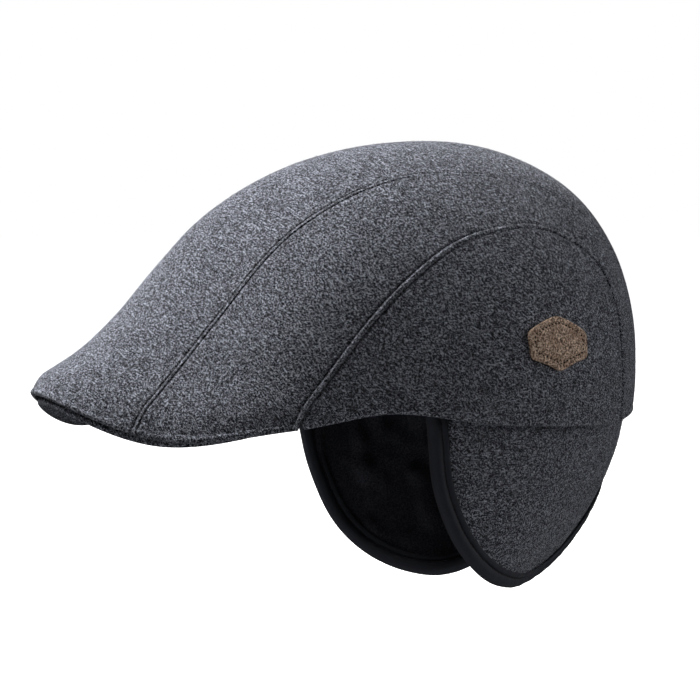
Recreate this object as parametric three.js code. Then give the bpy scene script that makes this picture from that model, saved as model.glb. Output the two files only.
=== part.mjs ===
// A flat cap of wool cloth with a duckbill peak and ear flaps that hang below the rim.
// Millimetres, +Z up. The peak points to -Y and the wearer's left is +X.
// The origin is the middle of the rim, where a head holds the cap.
import * as THREE from 'three';

// Rim and crown, outside sizes
const rimLength = 206;
const rimWidth = 170;
const crownHeight = 111.5;
const crownSetBack = 13;
const peakReach = 53;
const rimSwing = 11;
const edgeRoll = 5;
const rollDepth = 0.05;
const liftDepth = 0.6;

// Cloth walls and the gaps between the pieces
const clothWall = 2.2;
const seamGap = 0.3;
const layerGap = 0.3;

// Peak board
const boardThickness = 3.2;
const boardClearance = 0.7;
const boardBand = 4.5;
const boardBandShare = 0.7;
const boardArch = 6;
const boardEndAngle = 54;
const foreheadHeight = 8;

// Ear flaps
const flapDrop = 70;
const flapSewnIn = 12;
const flapTuck = 6;
const flapClearance = 0.5;
const flapWall = 2;
const liningWall = 1;

// Binding tape round the flaps' free edge
const tapeWall = 1;
const tapeLap = 6.5;
const tapeGap = 0.5;

// Leather patch on the left side
const patchWidth = 31;
const patchHeight = 22;
const patchSide = 10.5;
const patchWall = 1.5;
const patchCorner = 2.2;
const patchTurn = 109.7;
const patchClimb = 0.194;
const patchTilt = 4;

// Crown sections, one row for each turn about the crown's top, in degrees from the front.
// reach is a share of peakReach beyond the rim oval, swing the edge's height as a share of
// rimSwing, and rise the angle at which the cloth leaves its edge. low is how far the profile
// runs on from its edge, a share of the height left, and top how far it lies flat at the
// crown's top, a share of the section's radius. lift is a share of crownHeight that the peak's
// cloth is raised by, and roll the share of edgeRoll that the edge is turned down by.
const crownSections = [
  { turn: 0, reach: 1, swing: 1, rise: 30, low: 0.485, top: 0.59, lift: -0.057, roll: 1 },
  { turn: 22, reach: 0.63, swing: -0.41, rise: 52, low: 0.54, top: 0.58, lift: 0.002, roll: 1 },
  { turn: 42, reach: 0.35, swing: 0, rise: 68, low: 0.52, top: 0.52, lift: 0.011, roll: 0.8 },
  { turn: 60, reach: 0.075, swing: 0.5, rise: 84, low: 0.52, top: 0.5, lift: 0, roll: 0.4 },
  { turn: 85, reach: 0, swing: 0, rise: 92, low: 0.52, top: 0.5, lift: 0, roll: 0.2 },
  { turn: 110, reach: 0, swing: -0.23, rise: 95, low: 0.52, top: 0.5, lift: 0, roll: 0.2 },
  { turn: 135, reach: 0, swing: -0.36, rise: 98, low: 0.53, top: 0.53, lift: 0, roll: 0.2 },
  { turn: 160, reach: 0, swing: -0.14, rise: 98, low: 0.62, top: 0.64, lift: 0, roll: 0.2 },
  { turn: 180, reach: 0, swing: -0.23, rise: 102, low: 0.65, top: 0.7, lift: 0, roll: 0.2 },
];

// The crown as a flat round chart: its rim is the circle of radius 1 and its top the middle.
// ahead runs to the peak and out to the wearer's left. Each seam has a row for each point, and
// its two ends lie on the circle.
const innerSeam = [
  { ahead: 0.95, out: 0.312 },
  { ahead: 0.8, out: 0.29 },
  { ahead: 0.62, out: 0.272 },
  { ahead: 0.45, out: 0.247 },
  { ahead: 0.28, out: 0.25 },
  { ahead: 0.07, out: 0.3 },
  { ahead: -0.1, out: 0.292 },
  { ahead: -0.27, out: 0.24 },
  { ahead: -0.52, out: 0.205 },
  { ahead: -0.78, out: 0.228 },
  { ahead: -0.964, out: 0.267 },
];
const outerSeam = [
  { ahead: 0.731, out: 0.682 },
  { ahead: 0.61, out: 0.673 },
  { ahead: 0.44, out: 0.643 },
  { ahead: 0.27, out: 0.604 },
  { ahead: 0.11, out: 0.557 },
  { ahead: -0.1, out: 0.5 },
  { ahead: -0.3, out: 0.418 },
  { ahead: -0.46, out: 0.382 },
  { ahead: -0.56, out: 0.42 },
  { ahead: -0.66, out: 0.55 },
  { ahead: -0.755, out: 0.656 },
];

// Ear flap band, one row for each turn about the rim's middle. tuck is a share of flapTuck that
// its top stands in from the rim by. lean and hook draw it in below the rim, shares of flapDrop
// that grow with the depth and with the depth squared.
const flapSections = [
  { turn: 80, tuck: 1, leanLeft: 0.165, leanRight: 0.24, hook: -0.1 },
  { turn: 105, tuck: 0.5, leanLeft: 0.145, leanRight: 0.22, hook: 0.13 },
  { turn: 130, tuck: 0.17, leanLeft: 0.14, leanRight: 0.22, hook: 0.32 },
  { turn: 155, tuck: 0, leanLeft: 0.15, leanRight: 0.19, hook: 0.34 },
  { turn: 180, tuck: 0, leanLeft: 0.23, leanRight: 0.23, hook: 0.24 },
];

// Free edge of the flap band, from the front corner of a lobe to the middle of the back.
// along is the place in the run, and the drops are shares of flapDrop.
const flapEdge = [
  { along: 0, turn: 83.5, dropLeft: 0.34, dropRight: 0.36 },
  { along: 0.125, turn: 88.5, dropLeft: 0.63, dropRight: 0.67 },
  { along: 0.25, turn: 97, dropLeft: 0.84, dropRight: 0.9 },
  { along: 0.375, turn: 109, dropLeft: 0.96, dropRight: 1.03 },
  { along: 0.5, turn: 127, dropLeft: 0.995, dropRight: 1.06 },
  { along: 0.65, turn: 146, dropLeft: 0.9, dropRight: 0.95 },
  { along: 0.8, turn: 162, dropLeft: 0.54, dropRight: 0.56 },
  { along: 1, turn: 180, dropLeft: 0.39, dropRight: 0.39 },
];
const flapFrontTurn = 81;

// Facets along and across the pieces
const seamSteps = 40;
const seamCrowding = 0.7;
const centreSteps = 6;
const midSteps = 5;
const sideSteps = 8;
const boardSteps = 34;
const boardRows = 5;
const flapSteps = 56;
const flapRows = 6;
const frontRows = 4;
const tapeBends = 4;
const patchRings = 3;
const cornerSteps = 3;

const degrees = Math.PI / 180;
const chartStep = 0.001;
const flapStep = 0.5;
const sideTip = 0.012;

// A table's column at a place, as a smooth curve through the rows that is flat at both ends.
function column(table, key, place, across = 'turn') {
  const last = table.length - 1;
  const held = Math.min(Math.max(place, table[0][across]), table[last][across]);
  let row = 0;
  while (row < last - 1 && held > table[row + 1][across]) row += 1;
  const from = table[row];
  const to = table[row + 1];
  const span = to[across] - from[across];
  const slope = (index) => {
    if (index <= 0 || index >= last) return 0;
    const before = table[index - 1];
    const after = table[index + 1];
    return (after[key] - before[key]) / (after[across] - before[across]);
  };
  const t = (held - from[across]) / span;
  const startPull = t * (1 - t) ** 2 * span * slope(row);
  const endPull = t * t * (t - 1) * span * slope(row + 1);
  const start = (1 + 2 * t) * (1 - t) ** 2 * from[key];
  const end = t * t * (3 - 2 * t) * to[key];
  return start + startPull + end + endPull;
}

// Distance from the crown's upright axis to the rim oval at a turn.
function rimRadius(turn) {
  const side = Math.sin(turn * degrees) / (rimWidth / 2);
  const front = Math.cos(turn * degrees) / (rimLength / 2);
  const back = crownSetBack / (rimLength / 2);
  const a = side * side + front * front;
  const b = -2 * back * front;
  const c = back * back - 1;
  return (-b + Math.sqrt(b * b - 4 * a * c)) / (2 * a);
}

// Point of the crown's outer face for a place on the chart.
function crownPoint(ahead, out) {
  const climb = 1 - Math.hypot(ahead, out);
  const turn = Math.atan2(Math.abs(out), ahead) / degrees;
  const section = (key) => column(crownSections, key, turn);
  const radius = rimRadius(turn) + peakReach * section('reach');
  const roll = edgeRoll * section('roll');
  const foot = rimSwing * section('swing') + roll;
  const run = section('low') * (crownHeight - foot);
  const rise = section('rise') * degrees;
  const rest = 1 - climb;
  const weights = [rest ** 3, 3 * climb * rest ** 2, 3 * climb ** 2 * rest, climb ** 3];
  const ways = [0, run * Math.cos(rise), radius * (1 - section('top')), radius];
  const heights = [foot, foot + run * Math.sin(rise), crownHeight, crownHeight];
  let way = 0;
  let height = 0;
  weights.forEach((weight, index) => {
    way += weight * ways[index];
    height += weight * heights[index];
  });
  const liftPlace = Math.min(Math.max(climb / liftDepth, 0), 1);
  height += crownHeight * section('lift') * Math.sin(Math.PI * liftPlace) ** 2;
  height -= roll * Math.max(1 - climb / rollDepth, 0) ** 2;
  const left = radius - way;
  const side = Math.sign(out) || 1;
  return new THREE.Vector3(
    side * left * Math.sin(turn * degrees),
    crownSetBack - left * Math.cos(turn * degrees),
    height,
  );
}

// Outward normal of a surface given as a function of two numbers, found by small steps.
function surfaceNormal(surface, u, v, step) {
  const alongU = surface(u + step, v).sub(surface(u - step, v));
  const alongV = surface(u, v + step).sub(surface(u, v - step));
  return alongU.cross(alongV).normalize();
}

// The two numbers of a surface's place, moved a distance in a direction that lies in its face.
function movedPlace(surface, u, v, step, direction, distance) {
  const start = surface(u, v);
  const byU = surface(u + step, v).sub(start);
  const byV = surface(u, v + step).sub(start);
  const both = byU.dot(byV);
  const uPull = byU.dot(direction);
  const vPull = byV.dot(direction);
  const uSize = byU.lengthSq();
  const vSize = byV.lengthSq();
  const scale = step * distance / (uSize * vSize - both * both);
  return [u + scale * (uPull * vSize - vPull * both), v + scale * (vPull * uSize - uPull * both)];
}

function crownNormal(ahead, out) {
  return surfaceNormal(crownPoint, ahead, out, chartStep);
}

// A smooth chart line through a seam's rows; place runs from 0 in front to 1 at the back.
function seamLine(rows) {
  const points = rows.map((row) => new THREE.Vector3(row.ahead, row.out, 0));
  return new THREE.CatmullRomCurve3(points, false, 'catmullrom');
}

const innerLine = seamLine(innerSeam);
const outerLine = seamLine(outerSeam);

// Chart point on a seam, moved out to the left by a distance in millimetres.
function seamPoint(line, place, distance) {
  const at = line.getPoint(place);
  const heading = line.getTangent(place);
  const outward = new THREE.Vector2(-heading.y, heading.x);
  if (outward.y < 0) outward.negate();
  const start = crownPoint(at.x, at.y);
  const near = crownPoint(at.x + outward.x * chartStep, at.y + outward.y * chartStep);
  const scale = distance * chartStep / near.distanceTo(start);
  const moved = new THREE.Vector2(at.x + outward.x * scale, at.y + outward.y * scale);
  if (moved.length() > 1) moved.normalize();
  return moved;
}

// Chart point on the rim circle between two chart points of it.
function rimPoint(start, end, place) {
  const from = Math.atan2(start.y, start.x);
  let to = Math.atan2(end.y, end.x);
  if (to < from) to += 2 * Math.PI;
  const angle = from + (to - from) * place;
  return new THREE.Vector2(Math.cos(angle), Math.sin(angle));
}

// Places from 0 to 1 that crowd at both ends, where the cloth is rolled.
function crowdedPlaces(steps, crowding) {
  const places = [];
  for (let i = 0; i <= steps; i += 1) {
    const even = i / steps;
    places.push(even - crowding * Math.sin(2 * Math.PI * even) / (2 * Math.PI));
  }
  return places;
}

// A closed solid between two equal grids of points, the outer face and the inner one.
function solidBetween(outer, inner) {
  const rows = outer.length;
  const across = outer[0].length;
  const positions = [];
  [outer, inner].forEach((grid) => {
    grid.forEach((line) => line.forEach((point) => positions.push(point.x, point.y, point.z)));
  });
  const half = rows * across;
  const index = [];
  const face = (a, b, c, d) => index.push(a, b, c, a, c, d);
  for (let i = 0; i < rows - 1; i += 1) {
    for (let j = 0; j < across - 1; j += 1) {
      const a = i * across + j;
      face(a, a + across, a + across + 1, a + 1);
      face(half + a, half + a + 1, half + a + across + 1, half + a + across);
    }
  }
  for (let i = 0; i < rows - 1; i += 1) {
    const near = i * across;
    const far = near + across - 1;
    face(near, half + near, half + near + across, near + across);
    face(far, far + across, half + far + across, half + far);
  }
  for (let j = 0; j < across - 1; j += 1) {
    const last = (rows - 1) * across + j;
    face(j, j + 1, half + j + 1, half + j);
    face(last, half + last, half + last + 1, last + 1);
  }
  return closedBody(positions, index);
}

// Builds the geometry and turns its faces outward where the winding came out inward.
function closedBody(positions, index) {
  const corner = (i) => new THREE.Vector3().fromArray(positions, 3 * i);
  let volume = 0;
  for (let i = 0; i < index.length; i += 3) {
    const a = corner(index[i]);
    volume += a.dot(corner(index[i + 1]).cross(corner(index[i + 2])));
  }
  const ordered = volume < 0 ? index.slice().reverse() : index;
  const geometry = new THREE.BufferGeometry();
  geometry.setAttribute('position', new THREE.Float32BufferAttribute(positions, 3));
  geometry.setIndex(ordered);
  geometry.computeVertexNormals();
  return geometry;
}

// A cloth panel of the crown from a grid of chart points, with its wall laid inward.
function crownPanel(chart) {
  const outer = chart.map((line) => line.map((at) => crownPoint(at.x, at.y)));
  const inner = chart.map((line, i) => line.map((at, j) => {
    return outer[i][j].clone().addScaledVector(crownNormal(at.x, at.y), -clothWall);
  }));
  return solidBetween(outer, inner);
}

// Chart grid between two side lines, with the rim circle as its ends.
function panelChart(leftLine, rightLine, steps) {
  const places = crowdedPlaces(seamSteps, seamCrowding);
  const corners = {
    frontRight: rightLine(0),
    frontLeft: leftLine(0),
    backRight: rightLine(1),
    backLeft: leftLine(1),
  };
  return places.map((place) => {
    const right = rightLine(place);
    const left = leftLine(place);
    const line = [];
    for (let j = 0; j <= steps; j += 1) {
      const across = j / steps;
      const between = right.clone().lerp(left, across);
      const front = rimPoint(corners.frontRight, corners.frontLeft, across);
      const back = rimPoint(corners.backLeft, corners.backRight, 1 - across);
      const flatFront = corners.frontRight.clone().lerp(corners.frontLeft, across);
      const flatBack = corners.backRight.clone().lerp(corners.backLeft, across);
      between.addScaledVector(front.sub(flatFront), 1 - place);
      between.addScaledVector(back.sub(flatBack), place);
      line.push(between);
    }
    return line;
  });
}

function mirrorChart(chart) {
  return chart.map((line) => line.map((at) => new THREE.Vector2(at.x, -at.y)));
}

function centreChart() {
  const half = seamGap / 2;
  const left = (place) => seamPoint(innerLine, place, -half);
  const right = (place) => {
    const at = left(place);
    return new THREE.Vector2(at.x, -at.y);
  };
  return panelChart(left, right, centreSteps);
}

function midChart() {
  const half = seamGap / 2;
  const inner = (place) => seamPoint(innerLine, place, half);
  const outer = (place) => seamPoint(outerLine, place, -half);
  return panelChart(outer, inner, midSteps);
}

// The side panel lies between the outer seam and the rim, and its two tips are cut short.
function sideChart() {
  const start = seamPoint(outerLine, 0, 0);
  const end = seamPoint(outerLine, 1, 0);
  const rows = crowdedPlaces(sideSteps, seamCrowding);
  return crowdedPlaces(seamSteps, seamCrowding).map((even) => {
    const place = sideTip + (1 - 2 * sideTip) * even;
    const seam = seamPoint(outerLine, place, seamGap / 2);
    const rim = rimPoint(start, end, place);
    return rows.map((across) => seam.clone().lerp(rim, across));
  });
}

// Peak board, ruled from under the peak's edge back to the forehead and arched between. In
// front its edge hangs out below the cloth as a band, and at its ends it is tucked up inside.
function peakBoard() {
  const insideWall = clothWall + layerGap;
  const headLength = rimLength / 2 - insideWall;
  const headWidth = rimWidth / 2 - insideWall;
  const upper = [];
  const lower = [];
  for (let i = 0; i <= boardSteps; i += 1) {
    const spread = 2 * i / boardSteps - 1;
    const turn = Math.abs(spread) * boardEndAngle;
    const side = Math.sign(spread) || 1;
    const hang = boardBand * (1 - (spread / boardBandShare) ** 2);
    const above = boardThickness - hang;
    const clothLean = Math.max(above, 0) / Math.tan(column(crownSections, 'rise', turn) * degrees);
    const stand = insideWall + boardClearance + clothLean;
    const reach = peakReach * column(crownSections, 'reach', turn);
    const radius = rimRadius(turn) + reach - stand;
    const edge = new THREE.Vector3(
      side * radius * Math.sin(turn * degrees),
      crownSetBack - radius * Math.cos(turn * degrees),
      rimSwing * column(crownSections, 'swing', turn) + above,
    );
    const head = new THREE.Vector3(
      side * headWidth * Math.sin(turn * degrees),
      -headLength * Math.cos(turn * degrees),
      foreheadHeight,
    );
    const upperLine = [];
    const lowerLine = [];
    for (let j = 0; j <= boardRows; j += 1) {
      const inward = j / boardRows;
      const point = edge.clone().lerp(head, inward);
      const arch = 4 * inward * (1 - inward) * Math.cos(spread * Math.PI / 2);
      point.z += boardArch * arch;
      upperLine.push(point);
      lowerLine.push(point.clone().setZ(point.z - boardThickness));
    }
    upper.push(upperLine);
    lower.push(lowerLine);
  }
  return solidBetween(upper, lower);
}

// Point of the flap band's outer face: a turn about the rim's middle and a depth below the rim.
// left is true on the wearer's left.
function flapPoint(turn, depth, left) {
  const lean = column(flapSections, left ? 'leanLeft' : 'leanRight', turn);
  const hook = column(flapSections, 'hook', turn);
  const tuck = flapTuck * column(flapSections, 'tuck', turn);
  const below = Math.max(depth / flapDrop, 0);
  const inward = tuck + flapDrop * (lean * below + hook * below * below);
  const stand = clothWall + flapClearance + inward;
  const side = left ? 1 : -1;
  return new THREE.Vector3(
    side * (rimWidth / 2 - stand) * Math.sin(turn * degrees),
    -(rimLength / 2 - stand) * Math.cos(turn * degrees),
    -depth,
  );
}

function flapNormal(turn, depth, left) {
  const surface = (u, v) => flapPoint(u, v, left);
  const normal = surfaceNormal(surface, turn, depth, flapStep);
  return left ? normal.negate() : normal;
}

// The band as lines of turn and depth: each line runs from inside the crown to the free edge.
function flapPlaces() {
  const lines = [];
  for (let i = 0; i <= flapSteps; i += 1) {
    const round = 2 * i / flapSteps;
    const left = round <= 1;
    const along = left ? round : 2 - round;
    const edgeTurn = column(flapEdge, 'turn', along, 'along');
    const dropKey = left ? 'dropLeft' : 'dropRight';
    const edgeDepth = flapDrop * column(flapEdge, dropKey, along, 'along');
    const topTurn = flapFrontTurn + (180 - flapFrontTurn) * along;
    const line = [];
    for (let j = 0; j <= flapRows; j += 1) {
      const down = j / flapRows;
      line.push({
        turn: topTurn + (edgeTurn - topTurn) * down,
        depth: -flapSewnIn + (edgeDepth + flapSewnIn) * down,
        left,
      });
    }
    lines.push(line);
  }
  return lines;
}

// One layer of the band, between two depths below its outer face.
function flapLayer(outerOffset, innerOffset) {
  const lay = (offset) => flapPlaces().map((line) => line.map((place) => {
    const normal = flapNormal(place.turn, place.depth, place.left);
    return flapPoint(place.turn, place.depth, place.left).addScaledVector(normal, -offset);
  }));
  return solidBetween(lay(outerOffset), lay(innerOffset));
}

// The free edge in order: down the left front, round the lobes and the back, up the right.
function freeEdge() {
  const lines = flapPlaces();
  const first = lines[0].slice(flapRows - frontRows, flapRows);
  const last = lines[lines.length - 1].slice(flapRows - frontRows, flapRows).reverse();
  return [...first, ...lines.map((line) => line[flapRows]), ...last];
}

// Binding tape: a U section that takes the layers' edge between its two legs.
function bindingTape() {
  const stack = flapWall + layerGap + liningWall;
  const slotTop = tapeGap;
  const slotFoot = -stack - tapeGap;
  const middle = (slotTop + slotFoot) / 2;
  const radius = slotTop + tapeWall - middle;
  const section = [[tapeLap, slotTop + tapeWall]];
  for (let i = 0; i <= tapeBends; i += 1) {
    const angle = Math.PI * i / tapeBends;
    section.push([-radius * Math.sin(angle), middle + radius * Math.cos(angle)]);
  }
  section.push([tapeLap, slotFoot - tapeWall]);
  section.push([tapeLap, slotFoot]);
  section.push([-tapeGap, slotFoot]);
  section.push([-tapeGap, slotTop]);
  section.push([tapeLap, slotTop]);

  const places = freeEdge();
  const points = places.map((place) => flapPoint(place.turn, place.depth, place.left));
  const positions = [];
  points.forEach((point, i) => {
    const place = places[i];
    const surface = (turn, depth) => flapPoint(turn, depth, place.left);
    const before = points[Math.max(i - 1, 0)];
    const after = points[Math.min(i + 1, points.length - 1)];
    const normal = flapNormal(place.turn, place.depth, place.left);
    const run = after.clone().sub(before);
    const inside = new THREE.Vector3().crossVectors(normal, run).normalize();
    section.forEach(([inward, outward]) => {
      const onBand = Math.max(inward, 0);
      const at = movedPlace(surface, place.turn, place.depth, flapStep, inside, onBand);
      const corner = surface(...at);
      corner.addScaledVector(flapNormal(...at, place.left), outward);
      corner.addScaledVector(inside, inward - onBand);
      positions.push(corner.x, corner.y, corner.z);
    });
  });
  const sides = section.length;
  const index = [];
  for (let i = 0; i < points.length - 1; i += 1) {
    for (let j = 0; j < sides; j += 1) {
      const a = i * sides + j;
      const b = i * sides + (j + 1) % sides;
      index.push(a, b, b + sides, a, b + sides, a + sides);
    }
  }
  const outline = section.map(([x, y]) => new THREE.Vector2(x, y));
  const cap = THREE.ShapeUtils.triangulateShape(outline, []);
  const lastRing = (points.length - 1) * sides;
  cap.forEach(([a, b, c]) => {
    index.push(c, b, a);
    index.push(lastRing + a, lastRing + b, lastRing + c);
  });
  return closedBody(positions, index);
}

// The patch's hexagon about its own middle: a point above and below, upright sides between and
// its corners rounded. It is tilted so that its upper point leans back.
function patchOutline() {
  const wide = patchWidth / 2;
  const high = patchHeight / 2;
  const shoulder = patchSide / 2;
  const right = [[wide, shoulder], [wide, -shoulder], [0, -high]];
  const left = [[-wide, -shoulder], [-wide, shoulder], [0, high]];
  const corners = [...right, ...left].map(([x, y]) => new THREE.Vector2(x, y));
  const count = corners.length;
  const points = [];
  corners.forEach((at, i) => {
    const before = corners[(i + count - 1) % count].clone().sub(at).setLength(patchCorner);
    const after = corners[(i + 1) % count].clone().sub(at).setLength(patchCorner);
    const bend = new THREE.QuadraticBezierCurve(before.add(at), at, after.add(at));
    points.push(...bend.getPoints(cornerSteps));
  });
  const middle = new THREE.Vector2();
  return points.map((point) => point.rotateAround(middle, -patchTilt * degrees));
}

// The patch lies on the side panel, bent with it.
function leatherPatch() {
  const reach = 1 - patchClimb;
  const middle = new THREE.Vector2(
    reach * Math.cos(patchTurn * degrees),
    reach * Math.sin(patchTurn * degrees),
  );
  const normal = crownNormal(middle.x, middle.y);
  const upward = new THREE.Vector3(0, 0, 1).projectOnPlane(normal).normalize();
  const backward = new THREE.Vector3().crossVectors(upward, normal);
  const outline = patchOutline();
  const place = (point, share, height) => {
    const way = backward.clone().multiplyScalar(point.x).addScaledVector(upward, point.y);
    const at = movedPlace(crownPoint, middle.x, middle.y, chartStep, way, share);
    return crownPoint(...at).addScaledVector(crownNormal(...at), height);
  };
  const positions = [];
  const layers = [layerGap + patchWall, layerGap];
  layers.forEach((height) => {
    const centre = place(outline[0], 0, height);
    positions.push(centre.x, centre.y, centre.z);
    for (let ring = 1; ring <= patchRings; ring += 1) {
      outline.forEach((point) => {
        const at = place(point, ring / patchRings, height);
        positions.push(at.x, at.y, at.z);
      });
    }
  });
  const count = outline.length;
  const layerSize = 1 + patchRings * count;
  const ringStart = (layer, ring) => layer * layerSize + 1 + (ring - 1) * count;
  const index = [];
  for (let i = 0; i < count; i += 1) {
    const next = (i + 1) % count;
    index.push(0, ringStart(0, 1) + i, ringStart(0, 1) + next);
    index.push(layerSize, ringStart(1, 1) + next, ringStart(1, 1) + i);
    for (let ring = 1; ring < patchRings; ring += 1) {
      const top = [ringStart(0, ring), ringStart(0, ring + 1)];
      const foot = [ringStart(1, ring), ringStart(1, ring + 1)];
      index.push(top[0] + i, top[1] + i, top[1] + next, top[0] + i, top[1] + next, top[0] + next);
      index.push(foot[0] + i, foot[1] + next, foot[1] + i);
      index.push(foot[0] + i, foot[0] + next, foot[1] + next);
    }
    const rimTop = ringStart(0, patchRings);
    const rimFoot = ringStart(1, patchRings);
    index.push(rimTop + i, rimFoot + i, rimFoot + next);
    index.push(rimTop + i, rimFoot + next, rimTop + next);
  }
  return closedBody(positions, index);
}

const wool = { color: 0x4a4b51, roughness: 0.95, metalness: 0 };
const flapWool = { color: 0x505157, roughness: 0.95, metalness: 0 };
const liningCloth = { color: 0x16171a, roughness: 0.9, metalness: 0 };
const tapeCloth = { color: 0x18191c, roughness: 0.8, metalness: 0 };
const leather = { color: 0x7a5a45, roughness: 0.6, metalness: 0 };

const cap = new THREE.Group();

function addPiece(name, geometry, finish) {
  const mesh = new THREE.Mesh(geometry, new THREE.MeshStandardMaterial(finish));
  mesh.name = name;
  cap.add(mesh);
}

const mid = midChart();
const side = sideChart();
addPiece('crown_centre_panel', crownPanel(centreChart()), wool);
addPiece('crown_mid_panel_left', crownPanel(mid), wool);
addPiece('crown_mid_panel_right', crownPanel(mirrorChart(mid)), wool);
addPiece('side_panel_left', crownPanel(side), wool);
addPiece('side_panel_right', crownPanel(mirrorChart(side)), wool);
addPiece('peak_underside', peakBoard(), wool);
addPiece('earflap_shell', flapLayer(0, flapWall), flapWool);
const liningStart = flapWall + layerGap;
addPiece('earflap_lining', flapLayer(liningStart, liningStart + liningWall), liningCloth);
addPiece('earflap_binding', bindingTape(), tapeCloth);
addPiece('leather_patch', leatherPatch(), leather);

export default cap;
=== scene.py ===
"""Dresses a wool flat cap with a duckbill peak, bound ear flaps and a leather patch.

Every length is in metres, in the frame of the construction: +Z is up, the peak points to -Y and
the wearer's left is +X. The origin is the middle of the rim.
"""

import logging
import math
from collections.abc import Callable, Mapping, Sequence
from dataclasses import dataclass, field
from enum import Enum

import bpy
import numpy as np
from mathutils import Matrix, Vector


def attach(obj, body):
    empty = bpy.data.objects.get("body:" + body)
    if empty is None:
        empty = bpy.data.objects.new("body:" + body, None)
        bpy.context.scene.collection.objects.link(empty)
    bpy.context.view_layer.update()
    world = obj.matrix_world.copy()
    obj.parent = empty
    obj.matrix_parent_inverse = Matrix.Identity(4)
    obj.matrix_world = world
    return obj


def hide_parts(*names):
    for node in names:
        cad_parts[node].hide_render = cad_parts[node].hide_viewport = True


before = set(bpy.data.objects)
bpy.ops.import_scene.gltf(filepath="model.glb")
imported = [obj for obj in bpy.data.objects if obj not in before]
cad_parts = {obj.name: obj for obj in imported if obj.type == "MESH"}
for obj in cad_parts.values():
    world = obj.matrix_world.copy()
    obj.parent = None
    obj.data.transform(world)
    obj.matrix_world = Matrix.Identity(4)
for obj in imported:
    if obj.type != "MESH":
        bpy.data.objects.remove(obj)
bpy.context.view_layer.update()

MM = 0.001
DEGREE = math.pi / 180
BODY = "root"
Surface = Callable[[np.ndarray, np.ndarray], np.ndarray]
Grids = tuple[np.ndarray, np.ndarray]
SeamRows = Sequence[tuple[float, float]]
log = logging.getLogger("flat_cap")


class Side(Enum):
    """The wearer's left or right, as the sign of X."""

    LEFT = 1
    RIGHT = -1


class Edge(Enum):
    """How a panel's cloth is finished at one of its edges."""

    LAPPED = "lapped"
    PLAIN = "plain"
    HEM = "hem"


@dataclass(frozen=True)
class Table:
    """Rows of sizes, read as smooth curves through the rows that are flat at both ends."""

    names: tuple[str, ...]
    rows: tuple[tuple[float, ...], ...]

    def read(self, name: str, place: np.ndarray) -> np.ndarray:
        """Reads a column.

        Args:
            name: The column's name.
            place: Where to read it, in the units of the first column.

        Returns:
            The column's value at each place.
        """
        rows = np.array(self.rows)
        places = rows[:, 0]
        values = rows[:, self.names.index(name)]
        slopes = np.zeros(len(rows))
        slopes[1:-1] = (values[2:] - values[:-2]) / (places[2:] - places[:-2])
        held = np.clip(place, places[0], places[-1])
        row = np.clip(np.searchsorted(places, held, side="right") - 1, 0, len(rows) - 2)
        span = places[row + 1] - places[row]
        t = (held - places[row]) / span
        start = (1 + 2 * t) * (1 - t) ** 2 * values[row]
        end = t * t * (3 - 2 * t) * values[row + 1]
        pull = t * (1 - t) ** 2 * slopes[row] + t * t * (t - 1) * slopes[row + 1]
        return start + end + span * pull


CROWN_SECTIONS = Table(
    ("turn", "reach", "swing", "rise", "low", "top", "lift", "roll"),
    (
        (0, 1, 1, 30, 0.485, 0.59, -0.057, 1),
        (22, 0.63, -0.41, 52, 0.54, 0.58, 0.002, 1),
        (42, 0.35, 0, 68, 0.52, 0.52, 0.011, 0.8),
        (60, 0.075, 0.5, 84, 0.52, 0.5, 0, 0.4),
        (85, 0, 0, 92, 0.52, 0.5, 0, 0.2),
        (110, 0, -0.23, 95, 0.52, 0.5, 0, 0.2),
        (135, 0, -0.36, 98, 0.53, 0.53, 0, 0.2),
        (160, 0, -0.14, 98, 0.62, 0.64, 0, 0.2),
        (180, 0, -0.23, 102, 0.65, 0.7, 0, 0.2),
    ),
)
INNER_SEAM = (
    (0.95, 0.312), (0.8, 0.29), (0.62, 0.272), (0.45, 0.247), (0.28, 0.25), (0.07, 0.3),
    (-0.1, 0.292), (-0.27, 0.24), (-0.52, 0.205), (-0.78, 0.228), (-0.964, 0.267),
)
OUTER_SEAM = (
    (0.731, 0.682), (0.61, 0.673), (0.44, 0.643), (0.27, 0.604), (0.11, 0.557), (-0.1, 0.5),
    (-0.3, 0.418), (-0.46, 0.382), (-0.56, 0.42), (-0.66, 0.55), (-0.755, 0.656),
)
FLAP_SECTIONS = Table(
    ("turn", "tuck", "lean_left", "lean_right", "hook"),
    (
        (80, 1, 0.165, 0.24, -0.1),
        (105, 0.5, 0.145, 0.22, 0.13),
        (130, 0.17, 0.14, 0.22, 0.32),
        (155, 0, 0.15, 0.19, 0.34),
        (180, 0, 0.23, 0.23, 0.24),
    ),
)
FLAP_EDGE = Table(
    ("along", "turn", "drop_left", "drop_right"),
    (
        (0, 83.5, 0.34, 0.36),
        (0.125, 88.5, 0.63, 0.67),
        (0.25, 97, 0.84, 0.9),
        (0.375, 109, 0.96, 1.03),
        (0.5, 127, 0.995, 1.06),
        (0.65, 146, 0.9, 0.95),
        (0.8, 162, 0.54, 0.56),
        (1, 180, 0.39, 0.39),
    ),
)


def unit(vectors: np.ndarray) -> np.ndarray:
    """Returns the vectors at length one."""
    return vectors / np.linalg.norm(vectors, axis=-1, keepdims=True)


def smooth_step(value: np.ndarray, start: float, end: float) -> np.ndarray:
    """Rises smoothly from 0 at start to 1 at end."""
    t = np.clip((value - start) / (end - start), 0, 1)
    return t * t * (3 - 2 * t)


def hump(value: np.ndarray, middle: float, width: float) -> np.ndarray:
    """A bell of height 1 round a middle."""
    return np.exp(-(((value - middle) / width) ** 2))


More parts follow.
